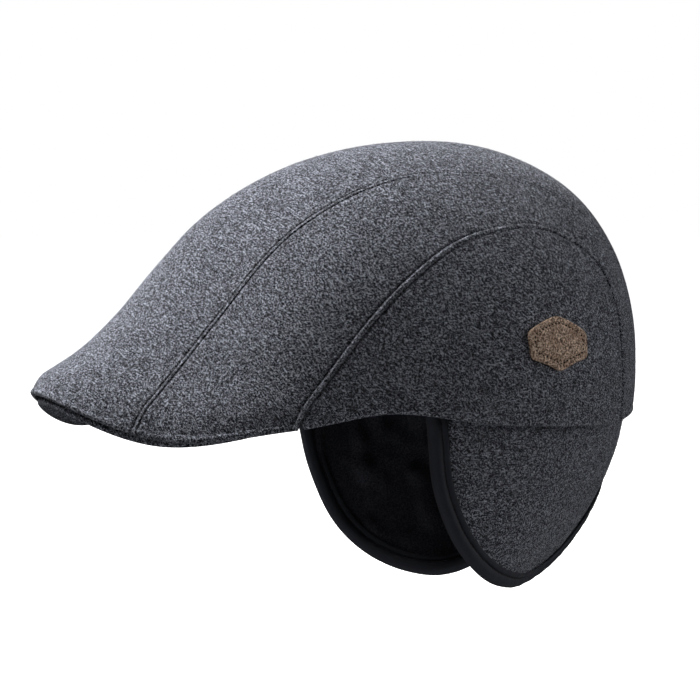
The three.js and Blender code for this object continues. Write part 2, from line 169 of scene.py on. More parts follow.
def smooth_line(points: np.ndarray, places: np.ndarray) -> np.ndarray:
    """Runs a smooth curve through points.

    Args:
        points: The points, one to a row.
        places: Where to read the curve, 0 at its start and 1 at its end.

    Returns:
        The curve's points at the places.
    """
    held = np.vstack([2 * points[0] - points[1], points, 2 * points[-1] - points[-2]])
    run = np.clip(places, 0, 1) * (len(points) - 1)
    index = np.minimum(run.astype(int), len(points) - 2)
    t = (run - index)[:, None]
    a, b, c, d = (held[index + shift] for shift in range(4))
    bend = (2 * a - 5 * b + 4 * c - d) * t**2 + (3 * b - a - 3 * c + d) * t**3
    return 0.5 * (2 * b + (c - a) * t + bend)


def crowded(length: float, fine: float, fine_run: float, coarse: float) -> np.ndarray:
    """Spaces places along a length, close together near both ends.

    Args:
        length: The length to divide.
        fine: The step at the ends.
        fine_run: How far from each end the fine steps go.
        coarse: The longest step in the middle.

    Returns:
        The places, from 0 to 1.
    """
    growth = 1.25
    reached = [0.0]
    step = fine
    while reached[-1] < length / 2:
        reached.append(reached[-1] + step)
        if reached[-1] > fine_run:
            step = min(step * growth, coarse)
    half = np.array(reached) / reached[-1] / 2
    return np.concatenate([half, 1 - half[-2::-1]])


def normals_of(surface: Surface, u: np.ndarray, v: np.ndarray, step: float) -> np.ndarray:
    """Finds a surface's normals by small steps of its two numbers."""
    along_u = surface(u + step, v) - surface(u - step, v)
    along_v = surface(u, v + step) - surface(u, v - step)
    return unit(np.cross(along_u, along_v))


def shift_on(
    surface: Surface, u: np.ndarray, v: np.ndarray, step: float, way: np.ndarray
) -> tuple[np.ndarray, np.ndarray]:
    """Moves places on a surface.

    Args:
        surface: The surface, as a function of two numbers.
        u: The first number of each place.
        v: The second number of each place.
        step: A small step of the two numbers.
        way: The move, as vectors that lie in the surface's face.

    Returns:
        The two numbers of each place after the move.
    """
    start = surface(u, v)
    by_u = (surface(u + step, v) - start) / step
    by_v = (surface(u, v + step) - start) / step
    both = (by_u * by_v).sum(-1)
    u_size = (by_u**2).sum(-1)
    v_size = (by_v**2).sum(-1)
    u_pull = (by_u * way).sum(-1)
    v_pull = (by_v * way).sum(-1)
    scale = 1 / (u_size * v_size - both**2)
    return (
        u + scale * (u_pull * v_size - v_pull * both),
        v + scale * (v_pull * u_size - u_pull * both),
    )


def ripple(points: np.ndarray, length: float, seed: int) -> np.ndarray:
    """Gives a soft unevenness, as a sum of waves that run in many directions.

    Args:
        points: The points to read it at.
        length: The middle wave's length.
        seed: The seed of the waves' directions.

    Returns:
        A number for each point, mostly between -1 and 1.
    """
    waves = 14
    draw = np.random.default_rng(seed)
    ways = unit(draw.normal(size=(waves, 3)))
    lengths = length * draw.uniform(0.6, 1.8, waves)
    starts = draw.uniform(0, 2 * math.pi, waves)
    turns = points @ (ways / lengths[:, None]).T * 2 * math.pi + starts
    return np.sin(turns).sum(-1) * math.sqrt(2 / waves) / 2


def nearest_on(points: np.ndarray, line: np.ndarray) -> tuple[np.ndarray, np.ndarray]:
    """Finds the nearest place of a line to each point of a grid.

    Args:
        points: The grid of points.
        line: The line's points in order.

    Returns:
        The distances and the places along the line from 0 to 1, as grids.
    """
    start = line[:-1]
    along = line[1:] - start
    size = (along**2).sum(-1)
    distances, places = [], []
    for row in points:
        offset = row[:, None] - start
        place = np.clip((offset * along).sum(-1) / size, 0, 1)
        gap = offset - place[..., None] * along
        spread = (gap**2).sum(-1)
        nearest = spread.argmin(-1)
        distances.append(np.sqrt(spread.min(-1)))
        places.append(nearest / len(start))
    return np.array(distances), np.array(places)


@dataclass(frozen=True)
class CrownForm:
    """The crown's outer face over a flat round chart whose middle is the crown's top."""

    rim_length: float = 206 * MM
    rim_width: float = 170 * MM
    height: float = 111.5 * MM
    set_back: float = 13 * MM
    peak_reach: float = 53 * MM
    rim_swing: float = 11 * MM
    edge_roll: float = 5 * MM
    roll_depth: float = 0.05
    lift_depth: float = 0.6
    step: float = 0.001
    unevenness: float = 0.22 * MM
    unevenness_length: float = 34 * MM

    def rim_radius(self, turn: np.ndarray) -> np.ndarray:
        """Returns the distance from the crown's upright axis to the rim oval."""
        side = np.sin(turn * DEGREE) / (self.rim_width / 2)
        front = np.cos(turn * DEGREE) / (self.rim_length / 2)
        back = self.set_back / (self.rim_length / 2)
        a = side * side + front * front
        b = -2 * back * front
        return (-b + np.sqrt(b * b - 4 * a * (back * back - 1))) / (2 * a)

    def point(self, ahead: np.ndarray, out: np.ndarray) -> np.ndarray:
        """Places chart points on the crown.

        Args:
            ahead: The chart's number towards the peak.
            out: The chart's number towards the wearer's left.

        Returns:
            The points of the crown's outer face.
        """
        climb = 1 - np.hypot(ahead, out)
        turn = np.arctan2(np.abs(out), ahead) / DEGREE
        section = {name: CROWN_SECTIONS.read(name, turn) for name in CROWN_SECTIONS.names}
        radius = self.rim_radius(turn) + self.peak_reach * section["reach"]
        roll = self.edge_roll * section["roll"]
        foot = self.rim_swing * section["swing"] + roll
        run = section["low"] * (self.height - foot)
        rise = section["rise"] * DEGREE
        rest = 1 - climb
        low, high, last = 3 * climb * rest**2, 3 * climb**2 * rest, climb**3
        way = low * run * np.cos(rise) + high * radius * (1 - section["top"]) + last * radius
        height = rest**3 * foot + low * (foot + run * np.sin(rise))
        height = height + (high + last) * self.height
        lift_place = np.clip(climb / self.lift_depth, 0, 1)
        height = height + self.height * section["lift"] * np.sin(math.pi * lift_place) ** 2
        height = height - roll * np.maximum(1 - climb / self.roll_depth, 0) ** 2
        left = radius - way
        side = np.where(out < 0, -1, 1)
        x = side * left * np.sin(turn * DEGREE)
        y = self.set_back - left * np.cos(turn * DEGREE)
        return np.stack([x, y, height], -1)

    def normal(self, ahead: np.ndarray, out: np.ndarray) -> np.ndarray:
        """Returns the outward normals at chart points."""
        return normals_of(self.point, ahead, out, self.step)

    def uneven(self, points: np.ndarray) -> np.ndarray:
        """Returns how far the brushed cloth stands off its form."""
        return self.unevenness * ripple(points, self.unevenness_length, seed=3)

    def seam_chart(self, rows: SeamRows, places: np.ndarray) -> np.ndarray:
        """Returns a seam's chart points at places along it, which are even on the cloth."""
        fine = smooth_line(np.array(rows), np.linspace(0, 1, 801))
        points = self.point(fine[:, 0], fine[:, 1])
        run = np.concatenate([[0], np.cumsum(np.linalg.norm(np.diff(points, axis=0), axis=1))])
        even = places * run[-1]
        return np.stack([np.interp(even, run, fine[:, k]) for k in range(2)], -1)


@dataclass(frozen=True)
class FlapForm:
    """The ear flap band's outer face, from a turn about the rim's middle and a depth."""

    rim_length: float = 206 * MM
    rim_width: float = 170 * MM
    crown_wall: float = 2.2 * MM
    clearance: float = 0.5 * MM
    drop: float = 70 * MM
    sewn_in: float = 12 * MM
    tuck: float = 6 * MM
    front_turn: float = 81
    back_turn: float = 180
    turn_step: float = 0.2
    depth_step: float = 0.2 * MM

    def point(self, turn: np.ndarray, depth: np.ndarray, side: Side) -> np.ndarray:
        """Places turns and depths on the band's outer face.

        Args:
            turn: The turn from the front, in degrees.
            depth: How far below the rim.
            side: Which half of the band.

        Returns:
            The points.
        """
        lean = FLAP_SECTIONS.read("lean_left" if side is Side.LEFT else "lean_right", turn)
        hook = FLAP_SECTIONS.read("hook", turn)
        below = np.maximum(depth / self.drop, 0)
        inward = self.tuck * FLAP_SECTIONS.read("tuck", turn)
        inward = inward + self.drop * (lean * below + hook * below * below)
        stand = self.crown_wall + self.clearance + inward
        x = side.value * (self.rim_width / 2 - stand) * np.sin(turn * DEGREE)
        y = -(self.rim_length / 2 - stand) * np.cos(turn * DEGREE)
        return np.stack([x, y, -depth + 0 * x], -1)

    def normal(self, turn: np.ndarray, depth: np.ndarray, side: Side) -> np.ndarray:
        """Returns the outward normals at turns and depths."""
        by_turn = self.point(turn + self.turn_step, depth, side)
        by_turn = by_turn - self.point(turn - self.turn_step, depth, side)
        by_depth = self.point(turn, depth + self.depth_step, side)
        by_depth = by_depth - self.point(turn, depth - self.depth_step, side)
        return -side.value * unit(np.cross(by_turn, by_depth))

    def places(self, along: np.ndarray, down: np.ndarray, side: Side) -> Grids:
        """Finds places on the lines from inside the crown down to the free edge.

        Args:
            along: Places along the free edge, 0 in front and 1 at the middle of the back.
            down: Places down each line, 0 inside the crown and 1 at the free edge.
            side: Which half of the band.

        Returns:
            The places' turns and depths.
        """
        edge_turn = FLAP_EDGE.read("turn", along)
        drop_name = "drop_left" if side is Side.LEFT else "drop_right"
        edge_depth = self.drop * FLAP_EDGE.read(drop_name, along)
        top_turn = self.front_turn + (self.back_turn - self.front_turn) * along
        turn = top_turn + (edge_turn - top_turn) * down
        depth = -self.sewn_in + (edge_depth + self.sewn_in) * down
        return turn, depth


class MeshKit:
    """Makes closed meshes from grids of points."""

    @staticmethod
    def grid_faces(rows: int, columns: int, start: int = 0, ring: bool = False) -> np.ndarray:
        """Returns the quads of a grid.

        Args:
            rows: How many rows of points.
            columns: How many points in a row.
            start: The first point's number.
            ring: Whether each row closes on itself.

        Returns:
            Four point numbers for each quad.
        """
        i = np.arange(rows - 1)[:, None] * columns + start
        count = columns if ring else columns - 1
        j = np.arange(count)[None, :]
        after = (j + 1) % columns
        quads = [i + j, i + columns + j, i + columns + after, i + after]
        return np.stack(quads, -1).reshape(-1, 4)

    @staticmethod
    def slab(outer: np.ndarray, inner: np.ndarray) -> tuple[np.ndarray, np.ndarray, np.ndarray]:
        """Closes the space between two equal grids.

        Args:
            outer: The outer face's grid of points.
            inner: The inner face's grid of points.

        Returns:
            Points, quads, and for each quad 0 on the outer face, 1 on the inner and 2 between.
        """
        rows, columns = outer.shape[:2]
        half = rows * columns
        top = MeshKit.grid_faces(rows, columns)
        foot = MeshKit.grid_faces(rows, columns, half)[:, ::-1]
        numbers = np.arange(half).reshape(rows, columns)
        border = np.concatenate(
            [numbers[0, :-1], numbers[:-1, -1], numbers[-1, :0:-1], numbers[:0:-1, 0]]
        )
        after = np.roll(border, -1)
        wall = np.stack([border, after, after + half, border + half], -1)
        points = np.concatenate([outer.reshape(-1, 3), inner.reshape(-1, 3)])
        faces = np.concatenate([top, foot, wall])
        kinds = np.repeat([0, 1, 2], [len(top), len(foot), len(wall)])
        return points, faces, kinds

    @staticmethod
    def tube(rings: np.ndarray) -> tuple[np.ndarray, np.ndarray, np.ndarray]:
        """Skins rings of points and closes both ends with a fan.

        Args:
            rings: The rings, each a closed outline.

        Returns:
            Points, the quads of the skin and the triangles of both ends.
        """
        count, sides = rings.shape[:2]
        points = rings.reshape(-1, 3)
        quads = MeshKit.grid_faces(count, sides, ring=True)
        middles = np.stack([rings[0].mean(0), rings[-1].mean(0)])
        first = len(points)
        j = np.arange(sides)
        after = (j + 1) % sides
        start_cap = np.stack([np.full(sides, first), j, after], -1)
        last = (count - 1) * sides
        end_cap = np.stack([np.full(sides, first + 1), last + after, last + j], -1)
        return np.concatenate([points, middles]), quads, np.concatenate([start_cap, end_cap])

    @staticmethod
    def volume(points: np.ndarray, faces: Sequence[np.ndarray]) -> float:
        """Returns the volume that the faces enclose, below zero if they point inward."""
        total = 0.0
        for group in faces:
            first = points[group[:, 0]]
            for k in range(1, group.shape[1] - 1):
                pair = np.cross(points[group[:, k]], points[group[:, k + 1]])
                total += float((first * pair).sum())
        return total / 6

    @staticmethod
    def piece(
        name: str,
        points: np.ndarray,
        faces: Sequence[np.ndarray],
        finishes: Sequence[bpy.types.Material],
        kinds: np.ndarray | None = None,
        cloth: np.ndarray | None = None,
    ) -> bpy.types.Object:
        """Makes a piece from points and faces.

        Args:
            name: The piece's name.
            points: Its points.
            faces: Groups of faces, each group with as many corners to a face.
            finishes: Its materials.
            kinds: The number of the material of each face.
            cloth: Two cloth coordinates for each point, in metres.

        Returns:
            The piece's object.
        """
        if MeshKit.volume(points, faces) < 0:
            faces = [group[:, ::-1] for group in faces]
        mesh = bpy.data.meshes.new(name)
        listed = [face for group in faces for face in group.tolist()]
        mesh.from_pydata(points.tolist(), [], listed)
        for finish in finishes:
            mesh.materials.append(finish)
        if kinds is not None:
            mesh.polygons.foreach_set("material_index", kinds.astype(np.int32))
        if cloth is not None:
            corners = np.zeros(len(mesh.loops), np.int32)
            mesh.loops.foreach_get("vertex_index", corners)
            layer = mesh.uv_layers.new(name="cloth")
            layer.data.foreach_set("uv", cloth[corners].astype(np.float32).ravel())
        mesh.polygons.foreach_set("use_smooth", np.ones(len(mesh.polygons), bool))
        mesh.update()
        made = bpy.data.objects.new(name, mesh)
        bpy.context.scene.collection.objects.link(made)
        return made


@dataclass(frozen=True)
class Thread:
    """Sewing thread laid in stitches along a line."""

    length: float = 2.1 * MM
    pitch: float = 3.0 * MM
    radius: float = 0.2 * MM
    sides: int = 6
    rings: int = 5

    def stitches(
        self, line: np.ndarray, normals: np.ndarray
    ) -> tuple[np.ndarray, list[np.ndarray]]:
        """Lays stitches along a line.

        Args:
            line: The points of the line, on the cloth.
            normals: The cloth's normal at each point.

        Returns:
            The stitches' points and their faces.
        """
        run = np.concatenate([[0], np.cumsum(np.linalg.norm(np.diff(line, axis=0), axis=1))])
        count = int((run[-1] - self.pitch) / self.pitch)
        starts = self.pitch * (0.5 + np.arange(count))
        shares = np.linspace(0, 1, self.rings)
        swell = self.radius * np.sqrt(np.clip(1 - (2 * shares - 1) ** 4, 0.02, 1))
        sink = self.radius * 1.3 * (2 * shares - 1) ** 4
        angles = np.arange(self.sides) * 2 * math.pi / self.sides
        points, quads, caps = [], [], []
        total = 0
        for start in starts:
            at = start + shares * self.length
            middle = np.stack([np.interp(at, run, line[:, k]) for k in range(3)], -1)
            up = unit(np.stack([np.interp(at, run, normals[:, k]) for k in range(3)], -1))
            ahead = unit(np.gradient(middle, axis=0))
            aside = unit(np.cross(ahead, up))
            middle = middle - up * sink[:, None]
            ring = np.cos(angles)[None, :, None] * aside[:, None]
            ring = ring + np.sin(angles)[None, :, None] * up[:, None]
            made, sides, ends = MeshKit.tube(middle[:, None] + ring * swell[:, None, None])
            points.append(made)
            quads.append(sides + total)
            caps.append(ends + total)
            total += len(made)
        return np.concatenate(points), [np.concatenate(quads), np.concatenate(caps)]


class Wire:
    """A socket of a material's nodes, on which sums can be written."""

    def __init__(self, graph: "Graph", socket: bpy.types.NodeSocket) -> None:
        """Keeps the graph and the socket."""
        self.graph = graph
        self.socket = socket

    def maths(self, operation: str, *values: "Wire | float") -> "Wire":
        """Adds a Math node on this value and others."""
        return self.graph.node(
            "ShaderNodeMath", {"operation": operation}, dict(enumerate((self, *values)))
        )

    def __add__(self, other: "Wire | float") -> "Wire":
        """Adds."""
        return self.maths("ADD", other)

    def __radd__(self, other: float) -> "Wire":
        """Adds to a number."""
        return self.maths("ADD", other)

    def __sub__(self, other: "Wire | float") -> "Wire":
        """Subtracts."""
        return self.maths("SUBTRACT", other)

    def __rsub__(self, other: float) -> "Wire":
        """Subtracts from a number."""
        return self.graph.node(
            "ShaderNodeMath", {"operation": "SUBTRACT"}, {0: other, 1: self}
        )

    def __mul__(self, other: "Wire | float") -> "Wire":
        """Multiplies."""
        return self.maths("MULTIPLY", other)

    def __rmul__(self, other: float) -> "Wire":
        """Multiplies a number."""
        return self.maths("MULTIPLY", other)

    def higher(self, other: "Wire | float") -> "Wire":
        """Takes the higher of two values."""
        return self.maths("MAXIMUM", other)

    def step(self, start: float, end: float) -> "Wire":
        """Rises smoothly from 0 where this is start to 1 where it is end."""
        return self.graph.node(
            "ShaderNodeMapRange",
            {"interpolation_type": "SMOOTHSTEP"},
            {"Value": self, "From Min": start, "From Max": end},
        )


class Graph:
    """The nodes of one material."""

    def __init__(self, name: str) -> None:
        """Makes an empty material."""
        self.material = bpy.data.materials.new(name)
        self.material.use_nodes = True
        self.tree = self.material.node_tree
        self.tree.nodes.clear()

    def node(
        self,
        kind: str,
        settings: Mapping[str, object] | None = None,
        sockets: Mapping[str | int, object] | None = None,
        output: str | int = 0,
    ) -> Wire:
        """Adds a node.

        Args:
            kind: The node's type.
            settings: Its settings, which are set first.
            sockets: The values or links of its inputs, by name or number.
            output: The output that is wanted.

        Returns:
            The output, as a wire.
        """
        made = self.tree.nodes.new(kind)
        for name, value in (settings or {}).items():
            setattr(made, name, value)
        for name, value in (sockets or {}).items():
            if isinstance(value, Wire):
                self.tree.links.new(value.socket, made.inputs[name])
            else:
                made.inputs[name].default_value = value
        return Wire(self, made.outputs[output])

    def place(self) -> Wire:
        """Returns the point's place on the piece, in metres."""
        return self.node("ShaderNodeTexCoord", output="Object")

    def noise(self, place: Wire, size: float, detail: float = 2, rough: float = 0.5) -> Wire:
        """Returns noise whose features have a size in metres."""
        sockets = {"Vector": place, "Scale": 1 / size, "Detail": detail, "Roughness": rough}
        return self.node("ShaderNodeTexNoise", {"noise_dimensions": "3D"}, sockets)

    def turned(self, place: Wire, turn: Sequence[float], scale: Sequence[float]) -> Wire:
        """Returns the place turned and then stretched."""
        point = {"vector_type": "POINT"}
        turned = self.node("ShaderNodeMapping", point, {"Vector": place, "Rotation": turn})
        return self.node("ShaderNodeMapping", point, {"Vector": turned, "Scale": scale})

    def mix(self, share: Wire | float, first: object, second: object) -> Wire:
        """Mixes two colours."""
        sockets = {0: share, 6: first, 7: second}
        return self.node("ShaderNodeMix", {"data_type": "RGBA"}, sockets, output=2)

    def bump(self, height: Wire, depth: float) -> Wire:
        """Returns a normal bumped by a height of 0 to 1."""
        sockets = {"Height": height, "Distance": depth, "Strength": 1.0}
        return self.node("ShaderNodeBump", None, sockets)

    def finish(self, sockets: Mapping[str, object]) -> bpy.types.Material:
        """Adds the surface shader and returns the material."""
        shader = self.node("ShaderNodeBsdfPrincipled", None, sockets)
        self.node_output(shader)
        return self.material

    def node_output(self, shader: Wire) -> None:
        """Links a shader to the material's surface."""
        output = self.tree.nodes.new("ShaderNodeOutputMaterial")
        self.tree.links.new(shader.socket, output.inputs["Surface"])


Colour = tuple[float, float, float, float]


def colour(red: float, green: float, blue: float) -> Colour:
    """Returns an opaque colour."""
    return (red, green, blue, 1.0)


@dataclass(frozen=True)
class BrushedWool:
    """Felted wool cloth of dark and light fibres that lie in all directions."""

    name: str
    dark: Colour = colour(0.0022, 0.0025, 0.0048)
    middle: Colour = colour(0.046, 0.049, 0.066)
    light: Colour = colour(0.8, 0.84, 0.97)
    grain: float = 0.8 * MM
    fibre_width: float = 0.33 * MM
    fibre_length: float = 3.4 * MM
    fibre_share: float = 0.74
    relief: float = 0.55 * MM

    def build(self) -> bpy.types.Material:
        """Makes the material."""
        graph = Graph(self.name)
        place = graph.place()
        fibres: Wire | None = None
        turns = ((0.3, 0.9, 0.1), (1.2, 0.2, 2.1), (2.3, 1.7, 0.8), (0.7, 2.6, 1.5), (1.9, 0.5, 2.9))
        stretch = (self.fibre_width / self.fibre_length, 1, 1)
        for number, turn in enumerate(turns):
            line = graph.turned(place, turn, stretch)
            strands = graph.noise(line, self.fibre_width * (1 + 0.1 * number), 1)
            strands = strands.step(0.59, 0.68)
            fibres = strands if fibres is None else fibres.higher(strands)
        clumps = graph.noise(place, self.grain, 2, 0.6)
        clouds = graph.noise(place, 7 * MM, 3)
        tone = clumps.step(0.44, 0.58) * (0.05 + 1.9 * clouds)
        base = graph.mix(tone, self.dark, self.middle)
        light = fibres * (0.2 + 0.8 * clumps.step(0.38, 0.58)) * self.fibre_share
        base = graph.mix(light, base, self.light)
        height = clumps * 0.55 + fibres * 0.45
        return graph.finish(
            {
                "Base Color": base,
                "Roughness": 0.95,
                "Specular IOR Level": 0.12,
                "Sheen Weight": 0.08,
                "Sheen Roughness": 0.6,
                "Normal": graph.bump(height, self.relief),
            }
        )


@dataclass(frozen=True)
class FleeceLining:
    """Matt black fleece with a short pile."""

    name: str
    dark: Colour = colour(0.017, 0.018, 0.024)
    light: Colour = colour(0.068, 0.07, 0.088)
    pile: float = 0.7 * MM
    relief: float = 0.18 * MM

    def build(self) -> bpy.types.Material:
        """Makes the material."""
        graph = Graph(self.name)
        place = graph.place()
        pile = graph.noise(place, self.pile, 2.5, 0.6)
        clouds = graph.noise(place, 14 * MM, 2)
        tone = pile.step(0.3, 0.75) * (0.5 + clouds)
        return graph.finish(
            {
                "Base Color": graph.mix(tone, self.dark, self.light),
                "Roughness": 0.9,
                "Specular IOR Level": 0.15,
                "Sheen Weight": 0.06,
                "Sheen Roughness": 0.5,
                "Normal": graph.bump(pile, self.relief),
            }
        )


@dataclass(frozen=True)
class RibbedTape:
    """Black binding tape with fine slanting ribs."""

    name: str
    dark: Colour = colour(0.01, 0.0115, 0.017)
    light: Colour = colour(0.032, 0.035, 0.049)
    rib: float = 0.55 * MM
    relief: float = 0.05 * MM

    def build(self) -> bpy.types.Material:
        """Makes the material."""
        graph = Graph(self.name)
        cloth = graph.node("ShaderNodeUVMap", {"uv_map": "cloth"})
        slant = graph.turned(cloth, (0, 0, 0.7), (1, 1, 1))
        sockets = {"Vector": slant, "Scale": 1 / self.rib, "Distortion": 0.0}
        ribs = graph.node("ShaderNodeTexWave", {"wave_type": "BANDS"}, sockets, output=1)
        fuzz = graph.noise(graph.place(), 0.5 * MM, 2)
        clouds = graph.noise(graph.place(), 8 * MM, 2)
        tone = (0.35 * ribs + 0.65 * fuzz) * (0.55 + 0.9 * clouds)
        return graph.finish(
            {
                "Base Color": graph.mix(tone, self.dark, self.light),
                "Roughness": 0.62 + 0.2 * fuzz,
                "Specular IOR Level": 0.3,
                "Sheen Weight": 0.05,
                "Normal": graph.bump(ribs * 0.5 + fuzz * 0.5, self.relief),
            }
        )


@dataclass(frozen=True)
class SewingThread:
    """Twisted sewing thread."""

    name: str
    tone: Colour
    twist: float = 0.4 * MM

    def build(self) -> bpy.types.Material:
        """Makes the material."""
        graph = Graph(self.name)
        fuzz = graph.noise(graph.place(), self.twist, 2)
        pale = colour(*(2.2 * part for part in self.tone[:3]))
        return graph.finish(
            {
                "Base Color": graph.mix(fuzz.step(0.3, 0.7), self.tone, pale),
                "Roughness": 0.75,
                "Specular IOR Level": 0.25,
                "Normal": graph.bump(fuzz, 0.08 * MM),
            }
        )


@dataclass(frozen=True)
class WornLeather:
    """Brown leather, rubbed pale in places and dark in its grain."""

    name: str
    dark: Colour = colour(0.07, 0.042, 0.03)
    brown: Colour = colour(0.64, 0.42, 0.3)
    pale: Colour = colour(1.0, 0.78, 0.6)
    grain: float = 0.8 * MM
    relief: float = 0.25 * MM

    def build(self) -> bpy.types.Material:
        """Makes the material."""
        graph = Graph(self.name)
        place = graph.place()
        grain = graph.noise(place, self.grain, 3, 0.65)
        blots = graph.noise(place, 4.5 * MM, 3, 0.6)
        sockets = {"Vector": place, "Scale": 1 / (1.1 * MM), "Randomness": 1.0}
        pores = graph.node("ShaderNodeTexVoronoi", {"feature": "DISTANCE_TO_EDGE"}, sockets)
        base = graph.mix(grain.step(0.34, 0.58), self.dark, self.brown)
        worn = grain.step(0.46, 0.6) * blots.step(0.32, 0.56)
        base = graph.mix(worn, base, self.pale)
        creases = pores.step(0.0, 0.16)
        base = graph.mix(0.45 * (1 - creases), base, self.dark)
        height = 0.6 * grain + 0.4 * creases
        return graph.finish(
            {
                "Base Color": base,
                "Roughness": 0.72 - 0.2 * worn,
                "Specular IOR Level": 0.3,
                "Normal": graph.bump(height, self.relief),
            }
        )


@dataclass(frozen=True)
class Finishes:
    """The finished materials that the pieces share."""

    wool: bpy.types.Material
    flap_wool: bpy.types.Material
    lining: bpy.types.Material
    tape: bpy.types.Material
    leather: bpy.types.Material
    grey_thread: bpy.types.Material
    black_thread: bpy.types.Material
    brown_thread: bpy.types.Material
    fibre: bpy.types.Material

    @classmethod
    def make(cls) -> "Finishes":
        """Builds each material once."""
        return cls(
            wool=BrushedWool("brushed_wool").build(),
            flap_wool=BrushedWool("brushed_flap_wool").build(),
            lining=FleeceLining("black_fleece").build(),
            tape=RibbedTape("black_binding_tape").build(),
            leather=WornLeather("worn_leather").build(),
            grey_thread=SewingThread("dark_grey_thread", colour(0.02, 0.02, 0.024)).build(),
            black_thread=SewingThread("black_thread", colour(0.016, 0.017, 0.021)).build(),
            brown_thread=SewingThread("brown_thread", colour(0.007, 0.005, 0.004)).build(),
            fibre=SewingThread("wool_fibre", colour(0.11, 0.112, 0.13), 3 * MM).build(),
        )


def settle(piece: bpy.types.Object, slot: str, *nodes: str) -> None:
    """Lets a piece ride on the cap and hides the parts of the model that it stands for."""
    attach(piece, BODY)
    if nodes:
        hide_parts(*nodes)
    log.info("%s: %d faces", piece.name, len(piece.data.polygons))


@dataclass(frozen=True)
class SeamRelief:
    """How the cloth rolls into a seam and stands up beside it."""

    roll: float = 0.9 * MM
    ridge: float = 0.55 * MM
    stitch_line: float = 2.5 * MM
    stitch_sink: float = 0.45 * MM
    stitch_width: float = 0.42 * MM
    puff: float = 0.22 * MM
    puff_reach: float = 1.7 * MM
    fade: tuple[tuple[float, float], ...] = (
        (0, 1), (0.36, 1), (0.5, 0.4), (0.66, 0.45), (0.85, 0.75), (1, 0.75),
    )

    def strength(self, place: np.ndarray) -> np.ndarray:
        """Returns how strongly the seam shows at places along it."""
        places, values = zip(*self.fade)
        return np.interp(place, places, values)

    def height(self, distance: np.ndarray, place: np.ndarray, edge: Edge) -> np.ndarray:
        """Gives the cloth's height near an edge.

        Args:
            distance: How far from the edge.
            place: Where along the edge, from 0 to 1.
            edge: How the cloth is finished there.

        Returns:
            The height over the form.
        """
        bend = np.clip(1 - distance / self.roll, 0, 1)
        height = -self.roll * (1 - np.sqrt(1 - bend**2))
        if edge is Edge.PLAIN:
            height = height + self.puff * hump(distance, self.puff_reach, self.puff_reach)
        else:
            rise = smooth_step(distance, 0, self.roll)
            fall = 1 - smooth_step(distance, self.stitch_line - self.roll, self.stitch_line)
            height = height + self.ridge * rise * fall
            height = height - self.stitch_sink * hump(distance, self.stitch_line, self.stitch_width)
        return height * (1 if edge is Edge.HEM else self.strength(place))


